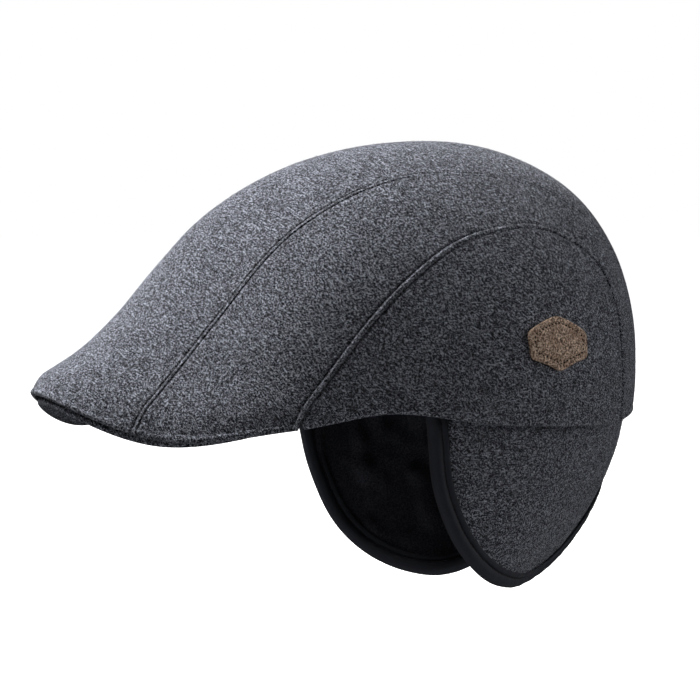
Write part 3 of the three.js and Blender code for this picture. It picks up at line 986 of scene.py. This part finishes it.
@dataclass(frozen=True)
class CrownPanels:
    """The five long wool panels of the crown with their seams and stitches."""

    form: CrownForm
    finishes: Finishes
    wall: float = 2.2 * MM
    seam_lap: float = 0.1 * MM
    long_step: float = 1.25 * MM
    fine_step: float = 0.22 * MM
    fine_run: float = 3.4 * MM
    coarse_step: float = 2.4 * MM
    panel_length: float = 300 * MM
    side_tip: float = 0.012
    inner_relief: SeamRelief = field(
        default_factory=lambda: SeamRelief(
            roll=0.5 * MM, ridge=0.3 * MM, stitch_line=2.0 * MM, stitch_sink=0.42 * MM
        )
    )
    outer_relief: SeamRelief = field(
        default_factory=lambda: SeamRelief(
            roll=1.15 * MM,
            ridge=0.7 * MM,
            stitch_line=2.7 * MM,
            stitch_sink=0.6 * MM,
            puff=0.4 * MM,
        )
    )
    hem: SeamRelief = field(
        default_factory=lambda: SeamRelief(
            roll=1.1 * MM, ridge=0.3 * MM, stitch_line=2.9 * MM, stitch_sink=0.15 * MM
        )
    )
    thread: Thread = field(default_factory=Thread)

    def seam_edge(self, rows: SeamRows, places: np.ndarray, distance: float) -> np.ndarray:
        """Finds a line beside a seam.

        Args:
            rows: The seam's rows.
            places: Places along it.
            distance: How far out to the left of the seam the line lies.

        Returns:
            The line's chart points.
        """
        at = self.form.seam_chart(rows, places)
        heading = unit(np.gradient(at, axis=0))
        outward = np.stack([-heading[:, 1], heading[:, 0]], -1)
        outward = outward * np.where(outward[:, 1:] < 0, -1, 1)
        step = self.form.step
        near = at + outward * step
        size = np.linalg.norm(self.form.point(*near.T) - self.form.point(*at.T), axis=-1)
        moved = at + outward * (distance * step / size)[:, None]
        return moved / np.maximum(np.linalg.norm(moved, axis=-1, keepdims=True), 1)

    @staticmethod
    def rim_arc(start: np.ndarray, end: np.ndarray, places: np.ndarray) -> np.ndarray:
        """Returns chart points on the rim circle between two of its points."""
        first = math.atan2(start[1], start[0])
        last = math.atan2(end[1], end[0])
        last += 2 * math.pi if last < first else 0
        angle = first + (last - first) * places
        return np.stack([np.cos(angle), np.sin(angle)], -1)

    def between(
        self, right: np.ndarray, left: np.ndarray, rows: np.ndarray, across: np.ndarray
    ) -> np.ndarray:
        """Fills the chart between two side lines, with the rim circle as its ends.

        Args:
            right: Chart points of the right side line.
            left: Chart points of the left side line.
            rows: Places along the lines.
            across: Places from the right line to the left one.

        Returns:
            The grid of chart points.
        """
        share = across[None, :, None]
        grid = right[:, None] * (1 - share) + left[:, None] * share
        front = self.rim_arc(right[0], left[0], across) - grid[0]
        back = self.rim_arc(left[-1], right[-1], 1 - across) - grid[-1]
        down = rows[:, None, None]
        return grid + front[None] * (1 - down) + back[None] * down

    def rim_points(self) -> np.ndarray:
        """Returns the crown's lower edge as a closed line."""
        angle = np.linspace(0, 2 * math.pi, 721)
        return self.form.point(np.cos(angle), np.sin(angle))

    def cloth(
        self, grid: np.ndarray, edges: Sequence[tuple[SeamRows, int, Edge, SeamRelief]]
    ) -> Grids:
        """Lays a panel's cloth over its chart.

        Args:
            grid: The panel's grid of chart points.
            edges: For each seam its rows, the sign of its side, the finish and its relief.

        Returns:
            The outer face's points and the inner face's.
        """
        base = self.form.point(grid[..., 0], grid[..., 1])
        normal = self.form.normal(grid[..., 0], grid[..., 1])
        height = self.form.uneven(base)
        fine = np.linspace(0, 1, 241)
        for rows, sign, edge, relief in edges:
            chart = self.form.seam_chart(rows, fine)
            seam = self.form.point(chart[:, 0], sign * chart[:, 1])
            height = height + relief.height(*nearest_on(base, seam), edge)
        height = height + self.hem.height(*nearest_on(base, self.rim_points()), Edge.HEM)
        return base + normal * height[..., None], base - normal * self.wall

    def panel(
        self,
        name: str,
        node: str,
        grid: np.ndarray,
        edges: Sequence[tuple[SeamRows, int, Edge, SeamRelief]],
    ) -> None:
        """Builds one panel that stands for a node."""
        outer, inner = self.cloth(grid, edges)
        points, faces, kinds = MeshKit.slab(outer, inner)
        finishes = [self.finishes.wool, self.finishes.lining]
        made = MeshKit.piece(name, points, [faces], finishes, (kinds == 1).astype(int))
        settle(made, "wool", node)

    def stitch_rows(self) -> None:
        """Sews the stitches beside the four seams."""
        groups = ((INNER_SEAM, -1, self.inner_relief), (OUTER_SEAM, -1, self.outer_relief))
        points, quads, caps, total = [], [], [], 0
        for rows, toward, relief in groups:
            places = np.linspace(0.004, 0.996, 700)
            line = self.seam_edge(rows, places, toward * relief.stitch_line)
            for side in Side:
                base = self.form.point(line[:, 0], side.value * line[:, 1])
                normal = self.form.normal(line[:, 0], side.value * line[:, 1])
                strength = relief.strength(places)
                height = self.form.uneven(base) - relief.stitch_sink * strength
                height = height + self.thread.radius * (1.3 * strength - 0.6)
                made, faces = self.thread.stitches(base + normal * height[:, None], normal)
                points.append(made)
                quads.append(faces[0] + total)
                caps.append(faces[1] + total)
                total += len(made)
        faces = [np.concatenate(quads), np.concatenate(caps)]
        made = MeshKit.piece("seam_stitches", np.concatenate(points), faces, [self.finishes.grey_thread])
        settle(made, "wool")

    def build(self) -> None:
        """Builds the five panels and their stitches."""
        rows = crowded(self.panel_length, self.fine_step, 1.3 * MM, self.long_step)
        half = -self.seam_lap / 2
        inner_left = self.seam_edge(INNER_SEAM, rows, -half)
        mirror = np.array([1, -1])
        across = crowded(92 * MM, self.fine_step, self.fine_run, self.coarse_step)
        centre = self.between(inner_left * mirror, inner_left, rows, across)
        edges = [(INNER_SEAM, side.value, Edge.LAPPED, self.inner_relief) for side in Side]
        self.panel("wool_centre_panel", "crown_centre_panel", centre, edges)

        right = self.seam_edge(INNER_SEAM, rows, half)
        left = self.seam_edge(OUTER_SEAM, rows, -half)
        across = crowded(48 * MM, self.fine_step, self.fine_run, self.coarse_step)
        mid = self.between(right, left, rows, across)
        tips = self.side_tip + (1 - 2 * self.side_tip) * rows
        seam = self.seam_edge(OUTER_SEAM, tips, half)
        ends = self.form.seam_chart(OUTER_SEAM, np.array([0.0, 1.0]))
        rim = self.rim_arc(ends[0], ends[1], tips)
        share = crowded(66 * MM, self.fine_step, self.fine_run, self.coarse_step)[None, :, None]
        flank = seam[:, None] * (1 - share) + rim[:, None] * share
        for side in Side:
            word = side.name.lower()
            flip = np.array([1, side.value])
            edges = [
                (INNER_SEAM, side.value, Edge.PLAIN, self.inner_relief),
                (OUTER_SEAM, side.value, Edge.LAPPED, self.outer_relief),
            ]
            self.panel(f"wool_mid_panel_{word}", f"crown_mid_panel_{word}", mid * flip, edges)
            edges = [(OUTER_SEAM, side.value, Edge.PLAIN, self.outer_relief)]
            self.panel(f"wool_side_panel_{word}", f"side_panel_{word}", flank * flip, edges)
        self.stitch_rows()


@dataclass(frozen=True)
class PeakUnderside:
    """The cloth covered peak board, whose edge shows as a band below the peak's cloth."""

    form: CrownForm
    finishes: Finishes
    thickness: float = 3.2 * MM
    inside_wall: float = 2.5 * MM
    clearance: float = 0.7 * MM
    band: float = 4.5 * MM
    band_share: float = 0.7
    arch: float = 6 * MM
    end_angle: float = 54
    forehead_height: float = 8 * MM
    long_steps: int = 220
    nose_steps: int = 8
    droop: float = 0.9 * MM
    droop_turn: float = 14
    droop_spread: float = 8

    def build(self) -> None:
        """Builds the board's cover as one closed skin."""
        spread = np.linspace(-1, 1, self.long_steps)
        turn = np.abs(spread) * self.end_angle
        side = np.where(spread < 0, -1, 1)
        above = self.thickness - self.band * (1 - (spread / self.band_share) ** 2)
        rise = CROWN_SECTIONS.read("rise", turn) * DEGREE
        stand = self.inside_wall + self.clearance + np.maximum(above, 0) / np.tan(rise)
        radius = self.form.rim_radius(turn) + self.form.peak_reach * CROWN_SECTIONS.read("reach", turn)
        radius = radius - stand
        swing = self.form.rim_swing * CROWN_SECTIONS.read("swing", turn)
        swing = swing - self.droop * hump(turn, self.droop_turn, self.droop_spread)
        sine, cosine = np.sin(turn * DEGREE), np.cos(turn * DEGREE)
        edge = np.stack([side * radius * sine, self.form.set_back - radius * cosine, swing + above], -1)
        head_x = side * (self.form.rim_width / 2 - self.inside_wall) * sine
        head_y = -(self.form.rim_length / 2 - self.inside_wall) * cosine
        head = np.stack([head_x, head_y, np.full(len(spread), self.forehead_height)], -1)
        inward = crowded(60 * MM, 0.6 * MM, 3 * MM, 2.5 * MM)
        nose = np.linspace(0, math.pi / 2, self.nose_steps)
        corner = 0.45 * self.thickness
        shares = inward[None, :, None]
        upper = edge[:, None] * (1 - shares) + head[:, None] * shares
        arch = 4 * inward[None] * (1 - inward[None]) * np.cos(spread * math.pi / 2)[:, None]
        upper[..., 2] += self.arch * arch
        lower = upper - [0, 0, self.thickness]
        lower[..., 2] += 0.25 * MM * ripple(lower, 22 * MM, 5)
        way = unit(edge - head)[:, None]
        drop = np.array([0, 0, -1.0])
        turned_top = upper[:, :1] + way * (corner * (np.sin(nose) - 1))[None, :, None]
        turned_top = turned_top + drop * (corner * (1 - np.cos(nose)))[None, :, None]
        turned_foot = upper[:, :1] + drop * (self.thickness - corner * (1 - np.sin(nose)))[None, :, None]
        turned_foot = turned_foot + way * (corner * (np.cos(nose) - 1))[None, :, None]
        keep = inward > 0.03
        rings = np.concatenate(
            [upper[:, keep][:, ::-1], turned_top, turned_foot, lower[:, keep]], axis=1
        )
        points, quads, caps = MeshKit.tube(rings)
        made = MeshKit.piece("peak_underside_cover", points, [quads, caps], [self.finishes.wool])
        settle(made, "wool", "peak_underside")


@dataclass(frozen=True)
class EarFlaps:
    """The band of wool and black lining below the rim, with tape round its free edge."""

    form: FlapForm
    finishes: Finishes
    wool_wall: float = 2 * MM
    layer_gap: float = 0.3 * MM
    lining_wall: float = 1 * MM
    tape_lap: float = 5.0 * MM
    tape_seam: float = 2.6 * MM
    tape_nose: float = 3.0 * MM
    half_steps: int = 150
    edge_steps: int = 400
    smooth_reach: int = 40
    thread: Thread = field(default_factory=lambda: Thread(1.7 * MM, 2.6 * MM, 0.17 * MM))

    def whole(self, down: np.ndarray) -> tuple[np.ndarray, np.ndarray]:
        """Lays the band's outer face round the back.

        Args:
            down: Places down each line.

        Returns:
            The points and the outward normals, from the left front to the right front.
        """
        along = np.linspace(0, 1, self.half_steps)
        points, normals = [], []
        for side in Side:
            turn, depth = self.form.places(along[:, None], down, side)
            grid = self.form.point(turn, depth, side)
            normal = self.form.normal(turn, depth, side)
            points.append(grid if side is Side.LEFT else grid[-2::-1])
            normals.append(normal if side is Side.LEFT else normal[-2::-1])
        return np.concatenate(points), np.concatenate(normals)

    def wool(self) -> None:
        """Builds the outer layer of wool."""
        down = crowded(80 * MM, 0.5 * MM, 2 * MM, 2 * MM)
        points, normals = self.whole(down)
        height = 0.3 * MM * ripple(points, 26 * MM, 9)
        outer = points + normals * (height - 0.2 * MM)[..., None]
        made, faces, _ = MeshKit.slab(outer, points - normals * self.wool_wall)
        piece = MeshKit.piece("earflap_wool_shell", made, [faces], [self.finishes.flap_wool])
        settle(piece, "flap_wool", "earflap_shell")

    def lining(self) -> None:
        """Builds the inner layer, softly wrinkled where the cloth is eased in."""
        down = crowded(80 * MM, 0.6 * MM, 2 * MM, 1.4 * MM)
        points, normals = self.whole(down)
        start = self.wool_wall + self.layer_gap
        folds = ripple(points * [1, 1, 0.45], 15 * MM, 21) + 0.6 * ripple(points, 8 * MM, 22)
        calm = smooth_step(down, 0.1, 0.25) * (1 - smooth_step(down, 0.86, 0.97))
        bulge = 1.2 * MM * np.clip(folds + 0.4, 0, 2) * calm[None]
        outer = points - normals * start
        inner = outer - normals * (self.lining_wall + bulge)[..., None]
        made, faces, _ = MeshKit.slab(outer, inner)
        piece = MeshKit.piece("earflap_black_lining", made, [faces], [self.finishes.lining])
        settle(piece, "black_lining", "earflap_lining")

    def free_edge(self) -> tuple[np.ndarray, np.ndarray, np.ndarray]:
        """Follows the free edge from the left front, under the lobes, to the right front.

        Returns:
            The turns and depths of its places and the sign of each place's side.
        """
        along = np.linspace(0, 1, self.edge_steps)
        rise = np.linspace(0.22, 1, 60)[:-1]
        turns, depths, signs = [], [], []
        for side in Side:
            turn, depth = self.form.places(along[:, None], np.array([1.0]), side)
            front_turn, front_depth = self.form.places(np.array([[0.0]]), rise, side)
            turn = np.concatenate([front_turn[0], turn[:, 0]])
            depth = np.concatenate([front_depth[0], depth[:, 0]])
            order = slice(None) if side is Side.LEFT else slice(-2, None, -1)
            turns.append(turn[order])
            depths.append(depth[order])
            signs.append(np.full(len(turn[order]), side.value))
        turn, depth = np.concatenate(turns), np.concatenate(depths)
        reach = self.smooth_reach
        weights = hump(np.arange(-reach, reach + 1), 0, reach / 2)
        weights = weights / weights.sum()
        padded = [np.pad(row, reach, "reflect", reflect_type="odd") for row in (turn, depth)]
        smooth = [np.convolve(row, weights, "valid") for row in padded]
        return smooth[0], smooth[1], np.concatenate(signs)

    def on_band(self, turn: np.ndarray, depth: np.ndarray, signs: np.ndarray, read: str) -> np.ndarray:
        """Reads points or normals of the band where both halves are listed together."""
        left = getattr(self.form, read)(turn, depth, Side.LEFT)
        right = getattr(self.form, read)(turn, depth, Side.RIGHT)
        return np.where(signs[:, None] > 0, left, right)

    def tape_section(self) -> np.ndarray:
        """Returns the tape's section as inward and outward distances, in order round it."""
        stack = self.wool_wall + self.layer_gap + self.lining_wall
        middle = -stack / 2
        lap, seam, nose = self.tape_lap, self.tape_seam, self.tape_nose
        slot = 0.12 * MM
        skin = [
            (lap, slot), (lap + 0.2 * MM, 0.45 * MM), (lap, 0.8 * MM), (lap - 0.7 * MM, 0.95 * MM),
            (seam + 0.8 * MM, 0.85 * MM), (seam + 0.35 * MM, 0.55 * MM), (seam, 0.3 * MM),
            (seam - 0.35 * MM, 0.6 * MM), (seam - 0.9 * MM, 1.05 * MM), (seam - 2 * MM, 1.45 * MM),
            (-0.6 * MM, 1.3 * MM), (-0.7 * nose, 0.35 * MM), (-nose, middle),
        ]
        outer = smooth_line(np.array(skin), np.linspace(0, 1, 40))
        inner = outer[-2::-1] * [1, -1] + [0, 2 * middle]
        slot_back = np.array([[-0.3 * MM, middle - stack / 2 - slot], [-0.3 * MM, slot]])
        return np.concatenate([outer, inner, slot_back])

    def tape(self) -> None:
        """Builds the folded tape and the stitches that hold it."""
        turn, depth, signs = self.free_edge()
        line = self.on_band(turn, depth, signs, "point")
        normal = self.on_band(turn, depth, signs, "normal")
        run = unit(np.gradient(line, axis=0))
        inside = unit(np.cross(normal, run))
        length = np.concatenate([[0], np.cumsum(np.linalg.norm(np.diff(line, axis=0), axis=1))])
        section = self.tape_section()
        skin_run = np.concatenate([[0], np.cumsum(np.linalg.norm(np.diff(section, axis=0), axis=1))])
        rings, cloth = [], []
        pucker = 0.12 * MM * ripple(line, 5 * MM, 31)
        for number, (inward, outward) in enumerate(section):
            onto = max(inward, 0.0)
            point, face = self.moved(turn, depth, signs, inside * onto)
            lift = outward + pucker * (1 if outward > 0.5 * MM else 0)
            rings.append(point + face * np.reshape(lift, (-1, 1)) + inside * (inward - onto))
            cloth.append(np.stack([length, np.full(len(line), skin_run[number])], -1))
        rings = np.stack(rings, 1)
        cloth = np.stack(cloth, 1).reshape(-1, 2)
        points, quads, caps = MeshKit.tube(rings)
        cloth = np.concatenate([cloth, cloth[:1], cloth[-1:]])
        piece = MeshKit.piece(
            "earflap_edge_tape", points, [quads, caps], [self.finishes.tape], cloth=cloth
        )
        settle(piece, "black_tape", "earflap_binding")

        stack = self.wool_wall + self.layer_gap + self.lining_wall
        point, face = self.moved(turn, depth, signs, inside * self.tape_seam)
        rows = [(point + face * 0.5 * MM, face), (point - face * (stack + 0.5 * MM), -face)]
        made, quads, caps, total = [], [], [], 0
        for stitched, up in rows:
            points, faces = self.thread.stitches(stitched, up)
            made.append(points)
            quads.append(faces[0] + total)
            caps.append(faces[1] + total)
            total += len(points)
        faces = [np.concatenate(quads), np.concatenate(caps)]
        piece = MeshKit.piece("tape_stitches", np.concatenate(made), faces, [self.finishes.black_thread])
        settle(piece, "black_tape")

    def moved(
        self, turn: np.ndarray, depth: np.ndarray, signs: np.ndarray, way: np.ndarray
    ) -> Grids:
        """Moves places of the band within its face.

        Args:
            turn: The places' turns.
            depth: The places' depths.
            signs: The sign of each place's side.
            way: The moves.

        Returns:
            The moved points and the outward normals there.
        """
        scale = self.form.depth_step / self.form.turn_step

        def surface(u: np.ndarray, v: np.ndarray) -> np.ndarray:
            """Places the band with both numbers in metres."""
            return self.on_band(u / scale, v, signs, "point")

        u, v = shift_on(surface, turn * scale, depth, self.form.depth_step, way)
        u = u / scale
        return self.on_band(u, v, signs, "point"), self.on_band(u, v, signs, "normal")

    def build(self) -> None:
        """Builds both layers and the tape."""
        self.wool()
        self.lining()
        self.tape()


@dataclass(frozen=True)
class LeatherPatch:
    """A six sided leather patch that is sewn to the left side panel."""

    form: CrownForm
    finishes: Finishes
    width: float = 31 * MM
    height: float = 22 * MM
    side: float = 10.5 * MM
    wall: float = 1.5 * MM
    gap: float = 0.3 * MM
    corner: float = 2.2 * MM
    turn: float = 109.7
    climb: float = 0.194
    tilt: float = 4
    slant: float = 0.04
    stretch: float = 1.03
    bow: float = 0.8 * MM
    stitch_inset: float = 2.6 * MM
    corner_steps: int = 5
    side_steps: int = 12
    insets_mm: tuple[float, ...] = (
        0, 0.1, 0.25, 0.6, 1.1, 1.6, 2.0, 2.3, 2.6, 2.9, 3.2, 3.6, 4.4, 5.4, 6.4, 7.4, 8.4, 9.4,
    )
    thread: Thread = field(default_factory=lambda: Thread(1.1 * MM, 1.9 * MM, 0.33 * MM))

    def outline(self, inset: float) -> np.ndarray:
        """Draws the patch's outline.

        Args:
            inset: How far inside the patch's edge.

        Returns:
            The outline's points about the patch's middle, with as many for each inset.
        """
        wide, high, shoulder = self.width / 2, self.height / 2, self.side / 2
        corners = np.array(
            [
                (wide, shoulder), (wide, -shoulder), (0, -high),
                (-wide, -shoulder), (-wide, shoulder), (0, high),
            ]
        )
        before = unit(corners - np.roll(corners, 1, axis=0))
        after = unit(np.roll(corners, -1, axis=0) - corners)
        turn = np.abs(before[:, 0] * after[:, 1] - before[:, 1] * after[:, 0])
        corners = corners + inset * (after - before) / turn[:, None]
        cut = self.corner * (1 - inset / self.height)
        points = []
        for k in range(6):
            start = corners[k] - before[k] * cut
            end = corners[k] + after[k] * cut
            for t in np.linspace(0, 1, self.corner_steps):
                points.append((1 - t) ** 2 * start + 2 * t * (1 - t) * corners[k] + t * t * end)
            following = corners[(k + 1) % 6] - before[(k + 1) % 6] * cut
            for t in np.linspace(0, 1, self.side_steps)[1:-1]:
                points.append(end + (following - end) * t)
        angle = -self.tilt * DEGREE
        turned = np.array([[math.cos(angle), math.sin(angle)], [-math.sin(angle), math.cos(angle)]])
        slanted = np.array([[1, self.slant], [0, self.stretch]])
        drawn = np.array(points)
        drawn[:, 1] += self.bow * (2 * np.abs(drawn[:, 0]) / wide - 1)
        return drawn @ turned @ slanted

    def lay(self, flat: np.ndarray, height: np.ndarray) -> tuple[np.ndarray, np.ndarray]:
        """Lays flat points on the cloth.

        Args:
            flat: Points about the patch's middle.
            height: How far over the cloth's form.

        Returns:
            The laid points and the normals there.
        """
        reach = 1 - self.climb
        ahead = np.full(len(flat), reach * math.cos(self.turn * DEGREE))
        out = np.full(len(flat), reach * math.sin(self.turn * DEGREE))
        normal = self.form.normal(ahead[:1], out[:1])[0]
        upward = np.array([0, 0, 1.0]) - normal * normal[2]
        upward = upward / np.linalg.norm(upward)
        backward = np.cross(upward, normal)
        way = flat[:, :1] * backward + flat[:, 1:] * upward
        u, v = shift_on(self.form.point, ahead, out, self.form.step, way)
        face = self.form.normal(u, v)
        point = self.form.point(u, v)
        lift = height + self.form.uneven(point)
        return point + face * np.reshape(lift, (-1, 1)), face

    def top_height(self, inset: float) -> float:
        """Returns the hide's height over the cloth at a distance inside its edge."""
        full = self.gap + self.wall
        round_edge = 0.6 * MM
        bend = max(1 - inset / round_edge, 0)
        groove = float(hump(np.array(inset), self.stitch_inset, 0.55 * MM))
        return full - round_edge * (1 - math.sqrt(1 - bend**2)) - 0.35 * MM * groove

    def build(self) -> None:
        """Builds the hide and the stitches round it."""
        rings = [self.lay(self.outline(0), np.array(self.gap))[0]]
        for inset in self.insets_mm:
            outline = self.outline(inset * MM)
            rings.append(self.lay(outline, np.array(self.top_height(inset * MM)))[0])
        points, quads, caps = MeshKit.tube(np.stack(rings))
        piece = MeshKit.piece("leather_patch_hide", points, [quads, caps], [self.finishes.leather])
        settle(piece, "patch_leather", "leather_patch")
        outline = self.outline(self.stitch_inset)
        outline = np.concatenate([outline, outline[:2]])
        line, face = self.lay(outline, np.array(self.top_height(self.stitch_inset) + 0.06 * MM))
        points, faces = self.thread.stitches(line, face)
        piece = MeshKit.piece("patch_stitches", points, faces, [self.finishes.brown_thread])
        settle(piece, "patch_leather")


@dataclass(frozen=True)
class WoolFuzz:
    """Loose fibres that stand a little off the brushed wool."""

    crown: CrownForm
    flap: FlapForm
    finishes: Finishes
    crown_count: int = 12000
    flap_count: int = 4500
    length: float = 2.2 * MM
    width: float = 0.07 * MM
    lift: float = 0.34 * MM
    bury: float = 0.25 * MM
    rim_margin: float = 2 * MM
    flap_from_turn: float = 92.5
    patch_middle: tuple[float, float] = (-0.27, 0.76)
    patch_reach: float = 0.16

    def strands(self, roots: np.ndarray, normals: np.ndarray, seed: int) -> Grids:
        """Grows a bent flat strand from each root.

        Args:
            roots: The strands' roots on the cloth.
            normals: The cloth's normals at the roots.
            seed: The seed of the strands' directions.

        Returns:
            The strands' points and triangles.
        """
        draw = np.random.default_rng(seed)
        count = len(roots)
        ahead = unit(np.cross(normals, unit(draw.normal(size=(count, 3)))))
        aside = np.cross(normals, ahead)
        reach = self.length * draw.uniform(0.45, 1.0, (count, 1))
        rise = self.lift * draw.uniform(0.1, 1.0, (count, 1))
        bend = reach * draw.uniform(-0.3, 0.3, (count, 1))
        start = roots - normals * self.bury
        middle = roots + ahead * reach * 0.5 + normals * rise + aside * bend
        end = roots + ahead * reach + normals * rise * 0.4 - normals * self.bury * 0.3
        half = aside * self.width / 2
        deep = normals * self.width / 2
        foot = [start - half, start + half, start - deep]
        rings = [*foot, middle - half, middle + half, middle - deep, end]
        points = np.stack(rings, 1).reshape(-1, 3)
        sides = np.array(
            [
                (0, 1, 2), (0, 3, 1), (1, 3, 4), (1, 4, 2), (2, 4, 5),
                (2, 5, 0), (0, 5, 3), (3, 6, 4), (4, 6, 5), (5, 6, 3),
            ]
        )
        faces = (np.arange(count) * len(rings))[:, None, None] + sides
        return points, faces.reshape(-1, 3)

    def build(self) -> None:
        """Grows the fibres of the crown and of the flaps."""
        draw = np.random.default_rng(41)
        radius = np.sqrt(draw.uniform(0, 0.98, self.crown_count))
        angle = draw.uniform(-math.pi, math.pi, self.crown_count)
        ahead, out = radius * np.cos(angle), radius * np.sin(angle)
        patch = np.abs(ahead - self.patch_middle[0]) < self.patch_reach
        patch = patch & (np.abs(out - self.patch_middle[1]) < self.patch_reach)
        ahead, out = ahead[~patch], out[~patch]
        roots = self.crown.point(ahead, out)
        normals = self.crown.normal(ahead, out)
        points, faces = self.strands(roots, normals, 42)
        made = MeshKit.piece("wool_crown_fuzz", points, [faces], [self.finishes.fibre])
        settle(made, "wool")
        roots, normals = [], []
        for side in Side:
            count = self.flap_count // 2
            along, down = draw.uniform(0, 1, count), draw.uniform(0.16, 0.9, count)
            turn, depth = self.flap.places(along, down, side)
            kept = (depth > self.rim_margin) & (turn > self.flap_from_turn)
            roots.append(self.flap.point(turn[kept], depth[kept], side))
            normals.append(self.flap.normal(turn[kept], depth[kept], side))
        points, faces = self.strands(np.concatenate(roots), np.concatenate(normals), 43)
        made = MeshKit.piece("wool_flap_fuzz", points, [faces], [self.finishes.fibre])
        settle(made, "flap_wool")


@dataclass(frozen=True)
class Studio:
    """A pale floor and backdrop, soft lamps and the camera at the photograph's angle."""

    azimuth: float = 68
    elevation: float = 4
    distance: float = 1.5
    across: float = -17.85 * MM
    up: float = 24.47 * MM
    pixels_per_mm: float = 2.395
    frame_pixels: int = 700
    sensor: float = 36
    floor_height: float = -0.16
    floor_radius: float = 6
    lamp_distance: float = 1.8
    lamp_lift: float = 0.03
    world_strength: float = 0.065

    def direction(self, azimuth: float, elevation: float) -> Vector:
        """Returns the direction from the object to a lamp or camera."""
        turn, climb = azimuth * DEGREE, elevation * DEGREE
        level = math.cos(climb)
        return Vector((math.sin(turn) * level, -math.cos(turn) * level, math.sin(climb)))

    def camera(self) -> None:
        """Places the camera."""
        back = self.direction(self.azimuth, self.elevation)
        right = Vector((math.cos(self.azimuth * DEGREE), math.sin(self.azimuth * DEGREE), 0))
        up = back.cross(right)
        data = bpy.data.cameras.new("photo_camera")
        data.sensor_width = self.sensor
        focal_pixels = self.pixels_per_mm * self.distance / MM
        data.lens = self.sensor * focal_pixels / self.frame_pixels
        data.clip_start, data.clip_end = 0.05, 50
        made = bpy.data.objects.new("photo_camera", data)
        made.location = back * self.distance + right * self.across + up * self.up
        made.rotation_mode = "QUATERNION"
        made.rotation_quaternion = (-back).to_track_quat("-Z", "Y")
        bpy.context.scene.collection.objects.link(made)
        bpy.context.scene.camera = made

    def lamp(
        self, name: str, azimuth: float, elevation: float, size: float, power: float
    ) -> None:
        """Hangs a square soft lamp that faces the cap.

        Args:
            name: The lamp's name.
            azimuth: Its direction round the cap.
            elevation: Its direction above the level.
            size: The length of its side.
            power: Its power in watts.
        """
        data = bpy.data.lights.new(name, "AREA")
        data.shape = "SQUARE"
        data.size = size
        data.energy = power
        made = bpy.data.objects.new(name, data)
        toward = self.direction(azimuth, elevation)
        made.location = toward * self.lamp_distance + Vector((0, 0, self.lamp_lift))
        made.rotation_mode = "QUATERNION"
        made.rotation_quaternion = toward.to_track_quat("Z", "Y")
        bpy.context.scene.collection.objects.link(made)

    def stage(self) -> None:
        """Lays the floor and hangs the backdrop, neither of which lights the cap."""
        angles = np.linspace(0, 2 * math.pi, 97)[:-1]
        ring = np.stack([np.cos(angles), np.sin(angles), 0 * angles], -1) * self.floor_radius
        mesh = bpy.data.meshes.new("pale_floor")
        mesh.from_pydata((ring + [0, 0, self.floor_height]).tolist(), [], [list(range(len(ring)))])
        graph = Graph("pale_floor")
        sockets = {
            "Base Color": colour(0.9, 0.9, 0.9),
            "Roughness": 0.9,
            "Emission Color": colour(1, 1, 1),
            "Emission Strength": 1.0,
        }
        mesh.materials.append(graph.finish(sockets))
        floor = bpy.data.objects.new("pale_floor", mesh)
        bpy.ops.mesh.primitive_uv_sphere_add(radius=self.floor_radius * 1.5, segments=48, ring_count=24)
        dome = bpy.context.object
        dome.name = "pale_backdrop"
        graph = Graph("pale_backdrop")
        glow = graph.node("ShaderNodeEmission", None, {"Color": colour(1, 1, 1), "Strength": 1.0})
        graph.node_output(glow)
        dome.data.materials.append(graph.material)
        bpy.context.scene.collection.objects.link(floor)
        for thing in (floor, dome):
            thing.visible_diffuse = False
            thing.visible_glossy = False
            thing.visible_shadow = False

    def light(self) -> None:
        """Sets the soft light."""
        world = bpy.data.worlds.new("studio")
        world.use_nodes = True
        background = world.node_tree.nodes["Background"]
        background.inputs["Color"].default_value = colour(1, 1, 1)
        background.inputs["Strength"].default_value = self.world_strength
        bpy.context.scene.world = world
        self.lamp("key_lamp", -42, 50, 1.0, 82)
        self.lamp("top_lamp", 240, 84, 1.2, 7)
        self.lamp("back_lamp", 160, 12, 0.9, 9.5)
        self.lamp("table_bounce", 35, -55, 1.2, 7.5)
        bpy.context.scene.view_settings.view_transform = "Standard"

    def build(self) -> None:
        """Sets up the whole studio."""
        self.camera()
        self.stage()
        self.light()


def main() -> None:
    """Builds the cap's pieces in order."""
    logging.basicConfig(level=logging.INFO, format="%(message)s")
    finishes = Finishes.make()
    crown = CrownForm()
    Studio().build()
    CrownPanels(crown, finishes).build()
    PeakUnderside(crown, finishes).build()
    EarFlaps(FlapForm(), finishes).build()
    LeatherPatch(crown, finishes).build()
    WoolFuzz(crown, FlapForm(), finishes).build()


if __name__ == "__main__":
    main()
